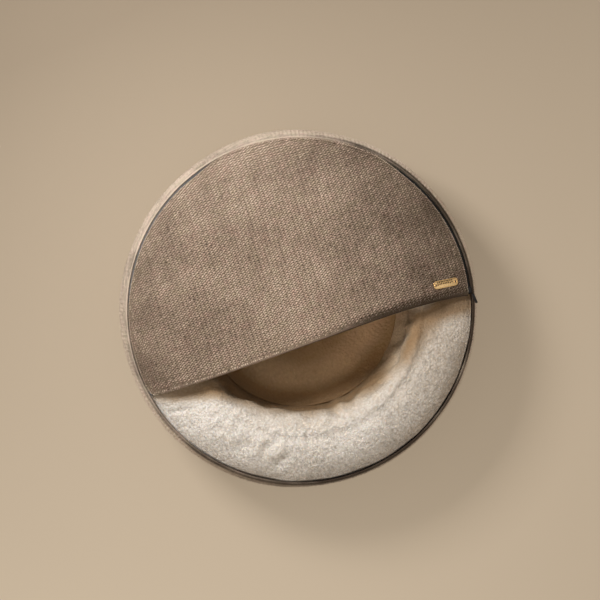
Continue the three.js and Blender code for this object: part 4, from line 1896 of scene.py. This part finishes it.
@dataclass
class BaseCushion:
    """Dished fleece pad at the bottom of the well."""

    form: BedForm
    finishes: Finishes
    fill: float = 0.55
    bearings: int = 260
    steps: int = 110
    # Outline from the foot over the lip to the dish, as radii and heights in millimetres.
    outline: Table = (
        (138, 3.4), (147, 11), (150, 25), (152, 40), (154.5, 54), (157.5, 68), (160.5, 78), (163.8, 87),
        (167.2, 95), (165.4, 94), (161.5, 88), (155, 81.5), (148, 77), (139, 74), (126, 72.5), (110, 71),
        (90, 68), (70, 64), (35, 58.5),
    )
    hub: float = 2.0
    middle: float = 57.0
    well_foot: float = 150 * MM
    waves: tuple[Wave, ...] = (Wave(3, 60, 1.8 * MM), Wave(5, 140, 1.4 * MM), Wave(8, 20, 0.8 * MM))
    waves_from: Pair = (5 * MM, 20 * MM)
    # Skin below the pile's tips, and its lumps, both kept off the foot and the lip.
    inset: float = 2.6 * MM
    lumps: tuple[Lumps, ...] = (Lumps(1.0 * MM, 30 * MM, 91), Lumps(0.25 * MM, 8 * MM, 92))
    lumps_from: Pair = (8 * MM, 30 * MM)
    lip_band: Pair = (138 * MM, 152 * MM)
    # Tones at radii in millimetres, painted shade in the middle and at the edge with a paler painted crest,
    # at the two middles, and their painted light rising to the right.
    tones: Table = (
        (0, 0.1), (60, 0.09), (88, 0.14), (107, 0.36), (126, 0.4), (138, 0.2), (150, -0.06), (165, -0.25),
    )
    middle_tones: Pair = (0.0, 0.03)
    right_painted_light: float = 0.42
    right_reach: Pair = (70 * MM, 165 * MM)
    tufts: Pile = Pile(22000, 4.0 * MM, 0.5 * MM, seed=81)
    tuft_height: Pair = (25 * MM, 45 * MM)
    tuft_facing: float = 0.1

    def build(self) -> None:
        """Make the pad and its pile."""
        rings, normals = self.surface()
        points, faces = closed_stack(rings, rings[0, 0, 2], rings[-1, :, 2].mean())
        tone = np.concatenate([self.tone(rings).ravel(), self.middle_tones])
        skin = mesh_piece("base_cushion_fleece", points, faces, self.finishes.well_shade_skin, Slot.FLEECE, tone)
        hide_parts("base_cushion")
        weight = smoothstep(rings[..., 2], *self.tuft_height) * (normals[..., 2] > self.tuft_facing)
        roots, normal = self.tufts.roots(rings, normals, weight)
        tone = self.tone(roots)
        self.tufts.grow("base_cushion_pile", roots, normal, self.finishes.well_shade_pile, tone, 0 * tone)

    def tone(self, points: Array) -> Array:
        """Tone of the pad, painted light and shade: darker in the middle and at its edge, with a paler crest,
        and lighter to the right.
        """
        tone = look_up(self.tones, radius_of(points) / MM)
        return tone + self.right_painted_light * smoothstep(points[..., 0], *self.right_reach)

    def surface(self) -> tuple[Array, Array]:
        """The pad's skin.

        Returns:
            Points, rows by bearings by 3, and their normals.
        """
        corner = np.array([(self.hub, self.outline[0][1]), *self.outline, (self.hub, self.middle)]) * MM
        run = np.concatenate([[0], np.cumsum(np.linalg.norm(np.diff(corner, axis=0), axis=1))])
        at = np.linspace(0, run[-1], self.steps)
        soft = np.stack([np.interp(at, run, corner[:, axis]) for axis in (0, 1)], axis=-1)
        for _ in range(2):
            soft[1:-1] = (soft[:-2] + 2 * soft[1:-1] + soft[2:]) / 4
        bearing = full_turn(self.bearings)[None, :]
        radius = soft[:, :1]
        height = soft[:, 1:]
        lift = ripple(self.waves, bearing) * (radius / self.well_foot) * smoothstep(height, *self.waves_from)
        points = polar(radius + 0 * bearing, bearing, height + lift)
        normals = grid_normals(points, False, True)
        lumps = sum(kind.at(points) for kind in self.lumps)
        shown = smoothstep(points[..., 2], *self.lumps_from) * (1 - smoothstep(radius, *self.lip_band))
        points = points + normals * (shown * (lumps - self.inset))[..., None]
        return points, grid_normals(points, False, True)


@dataclass
class Zip:
    """Zip round the back of the rim, with its slider and pull."""

    form: BedForm
    finishes: Finishes
    # Tape, its top lower than the teeth's and raised along its middle.
    inner: float = 278 * MM
    outer: float = 281 * MM
    top: float = 165.5 * MM
    thickness: float = 3 * MM
    tape_drops: Pair = (1.2 * MM, 0.9 * MM)
    tape_columns: int = 260
    # Band over which the zip turns greyer towards the left, a painted sheen.
    grey_band: Pair = (-0.6, 1.0)
    # Teeth, set by turns to the left and the right of the middle.
    tooth: YarnFloat = YarnFloat(3.0 * MM, 1.5 * MM, 1.0 * MM, 3)
    tooth_pitch: float = 2.1 * MM
    tooth_shift: float = 0.2 * MM
    tooth_margin: float = 0.002
    # Slider and pull: length, width and height, and how far their edges are rounded.
    slider_bearing: float = -10.4
    body_size: Triple = (10 * MM, 5.4 * MM, 1.7 * MM)
    body_round: float = 0.5 * MM
    bridge_size: Triple = (5.6 * MM, 1.6 * MM, 1.9 * MM)
    bridge_rise: float = 2.4 * MM
    bridge_round: float = 0.6 * MM
    pull_heading: float = -84.0
    pull_size: Triple = (16.8 * MM, 4.2 * MM, 1.3 * MM)
    pull_round: float = 0.55 * MM

    def build(self) -> None:
        """Make the tape, the teeth, the slider and the pull."""
        self.tape()
        self.teeth()
        self.slider()
        self.pull()

    def tape(self) -> None:
        """Make the dark tape between the cover's edge and the wall."""
        form = self.form
        bearing = np.linspace(math.pi - form.hem_bearing, form.hem_bearing, self.tape_columns)[None, :]
        side_drop, middle_drop = self.tape_drops
        loop = [
            (self.inner, self.top - side_drop), (lerp(self.inner, self.outer, 0.5), self.top - middle_drop),
            (self.outer, self.top - side_drop), (self.outer, self.top - self.thickness),
            (self.inner, self.top - self.thickness),
        ]
        points = np.concatenate([polar(np.array([[radius]]), bearing, height) for radius, height in loop])
        rows, cols = points.shape[:2]
        ends = [np.arange(rows)[None, ::-1] * cols, np.arange(rows)[None, :] * cols + cols - 1]
        piece = mesh_piece(
            "zip_tape", points.reshape(-1, 3), [grid_faces(rows, cols, True, False)[:, ::-1], *ends],
            self.finishes.zip_tape, Slot.ZIP, self.wear_and_sheen(points[..., 0]).ravel(),
        )
        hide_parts("zip")

    def wear_and_sheen(self, x: Array) -> Array:
        """Tone of the zip: greyer towards the left, a painted sheen."""
        return smoothstep(-x / self.outer, *self.grey_band)

    def teeth(self) -> None:
        """Make the closed row of teeth, one bead for each."""
        start = self.form.hem_bearing
        end = math.pi - start
        count = int((end - start) * self.outer / self.tooth_pitch)
        bearing = np.linspace(start + self.tooth_margin, end - self.tooth_margin, count)
        radius = lerp(self.inner, self.outer, 0.5) + self.tooth_shift * (-1.0) ** np.arange(count)
        centre = polar(radius, bearing, np.full(count, self.top - self.tape_drops[1]))
        outward = outward_from(bearing)
        up = np.broadcast_to(UP, outward.shape)
        mesh, faces = self.tooth.lay(centre, outward, up, np.ones(count))
        mesh_piece("zip_teeth", mesh, faces, self.finishes.zip_tape, Slot.ZIP, self.wear_and_sheen(mesh[:, 0]))

    def block(
        self, name: str, size: Sequence[float], centre: Sequence[float], heading: float, round_by: float
    ) -> Piece:
        """A small moulded block with rounded edges.

        Args:
            name: Name of the piece.
            size: Length, width and height.
            centre: Its middle.
            heading: Bearing of its length, in radians.
            round_by: Radius of its edges.

        Returns:
            The new piece.
        """
        ends = (-0.5, 0.5)
        corner = np.array([(x, y, z) for x in ends for y in ends for z in ends]) * size
        faces = np.array([(0, 1, 3, 2), (4, 6, 7, 5), (0, 4, 5, 1), (2, 3, 7, 6), (0, 2, 6, 4), (1, 5, 7, 3)])
        turned = corner @ np.array(Matrix.Rotation(heading, 3, "Z")).T + np.array(centre)
        piece = mesh_piece(name, turned, [faces], self.finishes.zip_black, Slot.ZIP)
        bevel = piece.modifiers.new("soft_edges", "BEVEL")
        bevel.width = round_by
        bevel.segments = 3
        return piece

    def slider(self) -> None:
        """Make the slider's body and the bridge that carries its pull."""
        low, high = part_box("zip_slider")
        x, y, _ = (low + high) / 2
        heading = math.radians(self.slider_bearing) + math.pi / 2
        middle = (x, y, low.z + self.body_size[2] / 2)
        body = self.block("zip_slider_body", self.body_size, middle, heading, self.body_round)
        over = (x, y, low.z + self.bridge_rise)
        self.block("zip_slider_bridge", self.bridge_size, over, heading, self.bridge_round)
        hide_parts("zip_slider")

    def pull(self) -> None:
        """Make the flat tab that hangs from the slider."""
        low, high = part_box("zip_pull")
        heading = math.radians(self.pull_heading)
        tab = self.block("zip_pull_tab", self.pull_size, (low + high) / 2, heading, self.pull_round)
        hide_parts("zip_pull")


@dataclass
class LabelPlate:
    """Bare gold plate that is sewn on through two eyelets, its upper half dimpled and darkened."""

    form: BedForm
    finishes: Finishes
    thickness: float = 1.2 * MM
    corner: float = 5.6 * MM
    edge_band: Pair = (-0.1 * MM, 0.35 * MM)
    # Columns and rows of the mesh, and how far they crowd towards the edges.
    columns: int = 150
    rows: int = 56
    crowding: float = 0.96
    # Dimples in rows, and the raised border round them.
    dent: float = 0.6 * MM
    dent_radius: float = 1.5 * MM
    dent_rows: tuple[float, ...] = (0.6 * MM, 3.6 * MM)
    dent_pitch: float = 3.1 * MM
    dent_margin: float = 4 * MM
    dent_wander: float = 0.3 * MM
    border: Pair = (1.1 * MM, 1.7 * MM)
    border_rise: float = 0.3 * MM
    border_round: float = 0.4 * MM
    # Dark patina in the dimples, and a painted shadow along the upper edge.
    dent_patina: Pair = (0.25, 0.85)
    upper_edge_painted_shadow: float = 0.8
    upper_edge_painted_shadow_band: Pair = (4.2 * MM, 5.4 * MM)
    # Eyelets: radius, place, and half width and height of their rolled edge.
    eyelet: float = 2.0 * MM
    eyelet_inset: float = 4.2 * MM
    eyelet_roll: Pair = (0.45 * MM, 0.4 * MM)
    eyelet_rise: float = 0.1 * MM
    eyelet_columns: int = 24
    eyelet_rows: int = 10
    thread: YarnFloat = YarnFloat(3.6 * MM, 2.2 * MM, 0.4 * MM, 3)
    thread_apart: float = 0.5 * MM
    thread_rise: float = 0.15 * MM

    def place(self, local: Array, up: Array) -> Array:
        """Points over the cover.

        Args:
            local: Places on the plate, along and across it.
            up: Heights above the cover.

        Returns:
            The points.
        """
        turn = math.radians(self.form.plate_heading)
        x = self.form.plate_place[0] + local[..., 0] * math.cos(turn) - local[..., 1] * math.sin(turn)
        y = self.form.plate_place[1] + local[..., 0] * math.sin(turn) + local[..., 1] * math.cos(turn)
        return np.stack([x, y, self.form.cover_top(x, y) + up], axis=-1)

    def crowded(self, count: int) -> Array:
        """Places from -1 to 1 that crowd towards both ends."""
        turn = math.pi * self.crowding
        return np.sin(np.linspace(-0.5, 0.5, count) * turn) / math.sin(turn / 2)

    def dimples(self, local: Array) -> Array:
        """Depth of the dimples.

        Args:
            local: Places on the plate, along and across it.

        Returns:
            The depth there, as a share of the deepest.
        """
        random = np.random.default_rng(101)
        reach = self.form.plate_size[0] / 2 - self.eyelet_inset - self.dent_margin
        grid = np.meshgrid(np.arange(-reach, reach, self.dent_pitch), self.dent_rows)
        spots = np.stack(grid, axis=-1).reshape(-1, 2)
        spots = spots + random.normal(0, self.dent_wander, spots.shape)
        away = np.linalg.norm(local[:, :, None] - spots, axis=-1).min(axis=-1)
        return np.maximum(0, 1 - (away / self.dent_radius) ** 2)

    def build(self) -> None:
        """Make the plate and its two eyelets."""
        length, width = self.form.plate_size
        x = self.crowded(self.columns)[None, :] * length / 2
        inset = np.maximum(0, np.abs(x) - (length / 2 - self.corner))
        half = width / 2 - self.corner + np.sqrt(np.maximum(self.corner**2 - inset**2, 0))
        local = np.stack(np.broadcast_arrays(x, self.crowded(self.rows)[:, None] * half), axis=-1)
        rim = np.minimum(length / 2 - np.abs(local[..., 0]), half - np.abs(local[..., 1]))
        hammer = self.dimples(local)
        inside = smoothstep(rim, *self.border)
        edge = self.form.gap + self.thickness * smoothstep(rim, *self.edge_band) ** 0.5
        raised = self.border_rise * (1 - inside) * smoothstep(rim, 0, self.border_round)
        top = self.place(local, edge + raised - inside * self.dent * hammer)
        low = self.place(local, np.full(rim.shape, self.form.gap))
        patina_and_shadow = inside * smoothstep(hammer, *self.dent_patina)
        # A painted shadow along the upper edge.
        patina_and_shadow += self.upper_edge_painted_shadow * smoothstep(local[..., 1], *self.upper_edge_painted_shadow_band) * inside
        tone = np.concatenate([np.clip(patina_and_shadow, 0, 1).ravel(), np.ones(rim.size)])
        rows, cols = rim.shape
        upper = grid_faces(rows, cols, False, False)
        lower = upper[:, ::-1] + rows * cols
        border = np.concatenate([
            np.arange(cols), np.arange(1, rows) * cols + cols - 1,
            (rows - 1) * cols + np.arange(cols - 2, -1, -1), np.arange(rows - 2, 0, -1) * cols,
        ])
        after = np.roll(border, -1)
        sides = np.stack([border + rows * cols, after + rows * cols, after, border], axis=-1)
        points = np.concatenate([top.reshape(-1, 3), low.reshape(-1, 3)])
        plate = mesh_piece(
            "label_plate_gold", points, [upper, lower, sides], self.finishes.brass, Slot.BRASS, tone
        )
        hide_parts("label_plate")
        for name, side in (("left", -1), ("right", 1)):
            self.eyelet_ring(name, side * (length / 2 - self.eyelet_inset))

    def eyelet_ring(self, name: str, at: float) -> None:
        """Make a rolled eyelet with the thread that shows in it.

        Args:
            name: Which end of the plate it is at.
            at: Its place along the plate.
        """
        face = self.form.gap + self.thickness
        turn = full_turn(self.eyelet_columns)[None, :]
        tube = full_turn(self.eyelet_rows)[:, None]
        radius = self.eyelet + self.eyelet_roll[0] * np.cos(tube)
        local = np.stack([at + radius * np.cos(turn), radius * np.sin(turn)], axis=-1)
        height = face + self.eyelet_rise + self.eyelet_roll[1] * np.sin(tube) + 0 * turn
        points = self.place(local, height)
        rows, cols = points.shape[:2]
        mesh_piece(
            f"label_eyelet_{name}", points.reshape(-1, 3), [grid_faces(rows, cols, True, True)],
            self.finishes.brass, Slot.BRASS, np.zeros(rows * cols),
        )
        spots = np.array([[at, side * self.thread_apart] for side in (-1, 1)])
        centre = self.place(spots, np.full(2, face + self.thread_rise))
        normal = self.form.cover_normal(centre[:, 0], centre[:, 1])
        upright = np.radians([self.form.plate_heading + 90])
        direction = lay_on(outward_from(upright), normal)
        mesh, faces = self.thread.lay(centre, direction, normal, np.ones(2))
        mesh_piece(f"label_thread_{name}", mesh, faces, self.finishes.zip_black, Slot.ZIP)


@dataclass(frozen=True)
class Lamp:
    """A soft rectangular lamp."""

    name: str
    power: float
    size: Pair = (0.5, 0.5)
    spread: float = 180.0
    colour: Triple = (1.0, 0.96, 0.9)

    def hang(self, place: Vector, target: Vector) -> None:
        """Hang the lamp.

        Args:
            place: Where it hangs.
            target: What it points at.
        """
        data = bpy.data.lights.new(self.name, "AREA")
        data.shape = "RECTANGLE"
        data.energy = self.power
        data.color = self.colour
        data.size, data.size_y = self.size
        data.spread = math.radians(self.spread)
        light = bpy.data.objects.new(self.name, data)
        light.location = place
        light.rotation_euler = (place - target).to_track_quat("Z", "Y").to_euler()
        bpy.context.scene.collection.objects.link(light)


@dataclass
class Studio:
    """Floor, lights and camera."""

    form: BedForm
    # Camera: turn about the bed's axis and leans off it in degrees, distance, width seen and aim.
    tilt: float = 17.46
    camera_distance: float = 2.0
    camera_lean: float = 3.0
    camera_rise: float = 2.4
    frame_width: float = 0.9807
    sensor: float = 36.0
    aim: Pair = (-1.9 * MM, 18.0 * MM)
    # Floor, and its faint glow with its changes to the right, upwards and to the corners.
    floor_half: float = 5.0
    floor_drop: float = 0.3 * MM
    floor_colour: Triple = (0.36, 0.302, 0.237)
    floor_roughness: float = 0.9
    floor_glow: Triple = (0.167, 0.139, 0.103)
    glow_fall: Triple = (0.3, -1.40, 1.3)
    # Lamps: turn in the picture and rise above it in degrees, distance and aim.
    key: Lamp = Lamp("key", 5.2, spread=80.0)
    key_turn: float = 140.0
    key_rise: float = 45.0
    key_distance: float = 1.6
    key_aim: Pair = (-0.02, 0.1)
    well: Lamp = Lamp("well", 0.012, (0.2, 0.2), 11.0, (1.0, 0.76, 0.5))
    well_turn: float = -152.0
    well_rise: float = 38.0
    well_distance: float = 1.2
    well_aim: Pair = (0.17, -0.03)
    well_height: float = 0.1
    glint: Lamp = Lamp("glint", 0.3)
    glint_place: Triple = (1.4, -0.2, 1.35)
    room_colour: Triple = (1.0, 0.86, 0.7)
    room_strength: float = 0.45

    @property
    def right(self) -> Vector:
        """The picture's rightward direction."""
        return Vector((math.cos(math.radians(self.tilt)), -math.sin(math.radians(self.tilt)), 0))

    @property
    def up(self) -> Vector:
        """The picture's upward direction."""
        return Vector((math.sin(math.radians(self.tilt)), math.cos(math.radians(self.tilt)), 0))

    def build(self) -> None:
        """Set the whole stage."""
        self.floor()
        self.lights()
        self.camera()
        bpy.context.scene.view_settings.view_transform = "Standard"

    def point(self, across: Pair, height: float) -> Vector:
        """Point over the bed, from its place in the picture and its height."""
        return Vector((0, 0, height)) + across[0] * self.right + across[1] * self.up

    def toward(self, turn: float, rise: float) -> Vector:
        """Unit direction at an angle in the picture, and a rise above its plane, both in degrees."""
        flat = math.cos(math.radians(turn)) * self.right + math.sin(math.radians(turn)) * self.up
        return math.cos(math.radians(rise)) * flat + math.sin(math.radians(rise)) * Vector((0, 0, 1))

    def floor(self) -> None:
        """Lay the plain pale floor."""
        mesh = bpy.data.meshes.new("floor")
        corners = [(-1, -1), (1, -1), (1, 1), (-1, 1)]
        points = [(x * self.floor_half, y * self.floor_half, -self.floor_drop) for x, y in corners]
        mesh.from_pydata(points, [], [(0, 1, 2, 3)])
        mesh.materials.append(self.paper())
        plane = bpy.data.objects.new("floor", mesh)
        bpy.context.scene.collection.objects.link(plane)
        plane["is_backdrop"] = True

    def paper(self) -> Material:
        """The floor's material, with a faint glow that evens out its light.

        Returns:
            The material.
        """
        material = bpy.data.materials.new("floor_paper")
        material.use_nodes = True
        shader = material.node_tree.nodes["Principled BSDF"]
        shader.inputs["Base Color"].default_value = (*self.floor_colour, 1.0)
        shader.inputs["Roughness"].default_value = self.floor_roughness
        shader.inputs["Emission Strength"].default_value = 1.0
        board = NodeBoard(material.node_tree)
        place = board.place()
        to_right, to_top, to_corner = self.glow_fall
        ways = (to_right * self.right + to_top * self.up, self.right, self.up)
        slope, across, upward = (
            board.add("VectorMath", {0: place, 1: tuple(way)}, operation="DOT_PRODUCT").outputs["Value"]
            for way in ways
        )
        corner = board.math("MULTIPLY", board.math("MULTIPLY", across, upward), to_corner)
        total = board.math("ADD", board.math("ADD", slope, corner), 1.0)
        bright = board.math("MAXIMUM", total, 0.0)
        glow = board.add("VectorMath", {0: self.floor_glow, "Scale": bright}, operation="SCALE")
        board.feed(shader.inputs["Emission Color"], glow.outputs["Vector"])
        return material

    def lights(self) -> None:
        """Hang a near key lamp at the picture's upper left, two small lamps and a dim warm room."""
        aim = self.point(self.key_aim, self.form.rim_height)
        self.key.hang(aim + self.toward(self.key_turn, self.key_rise) * self.key_distance, aim)
        inner = self.point(self.well_aim, self.well_height)
        self.well.hang(inner + self.toward(self.well_turn, self.well_rise) * self.well_distance, inner)
        self.glint.hang(Vector(self.glint_place), self.point((0, 0), self.form.rim_height))
        world = bpy.data.worlds.new("room")
        world.use_nodes = True
        background = world.node_tree.nodes["Background"]
        background.inputs["Color"].default_value = (*self.room_colour, 1.0)
        background.inputs["Strength"].default_value = self.room_strength
        bpy.context.scene.world = world

    def camera(self) -> None:
        """Set the camera nearly square to the bed's face, turned so that the hem rises to the right."""
        lean = math.tan(math.radians(self.camera_lean))
        rise = math.tan(math.radians(self.camera_rise))
        target = self.point(self.aim, self.form.rim_height)
        back = (Vector((0, 0, 1)) - lean * self.right + rise * self.up).normalized()
        up = (self.up - back * self.up.dot(back)).normalized()
        data = bpy.data.cameras.new("camera")
        data.sensor_width = self.sensor
        data.lens = self.sensor * self.camera_distance / self.frame_width
        camera = bpy.data.objects.new("camera", data)
        turn = Matrix((up.cross(back), up, back)).transposed().to_4x4()
        camera.matrix_world = Matrix.Translation(target + back * self.camera_distance) @ turn
        bpy.context.scene.collection.objects.link(camera)
        bpy.context.scene.camera = camera


def main() -> None:
    """Build the bed piece by piece, then its stage."""
    logging.basicConfig(level=logging.INFO, format="%(name)s %(message)s")
    form = BedForm()
    finishes = Finishes()
    for assembly in (
        Shell(form, finishes), Bolster(form, finishes), BaseCushion(form, finishes),
        Cover(form, finishes), Zip(form, finishes), LabelPlate(form, finishes), Studio(form),
    ):
        assembly.build()
    boxes = {"cad": CAD_BOX, "visual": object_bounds()}
    json.dumps({name: [list(corner) for corner in box] for name, box in boxes.items()})


if __name__ == "__main__":
    main()
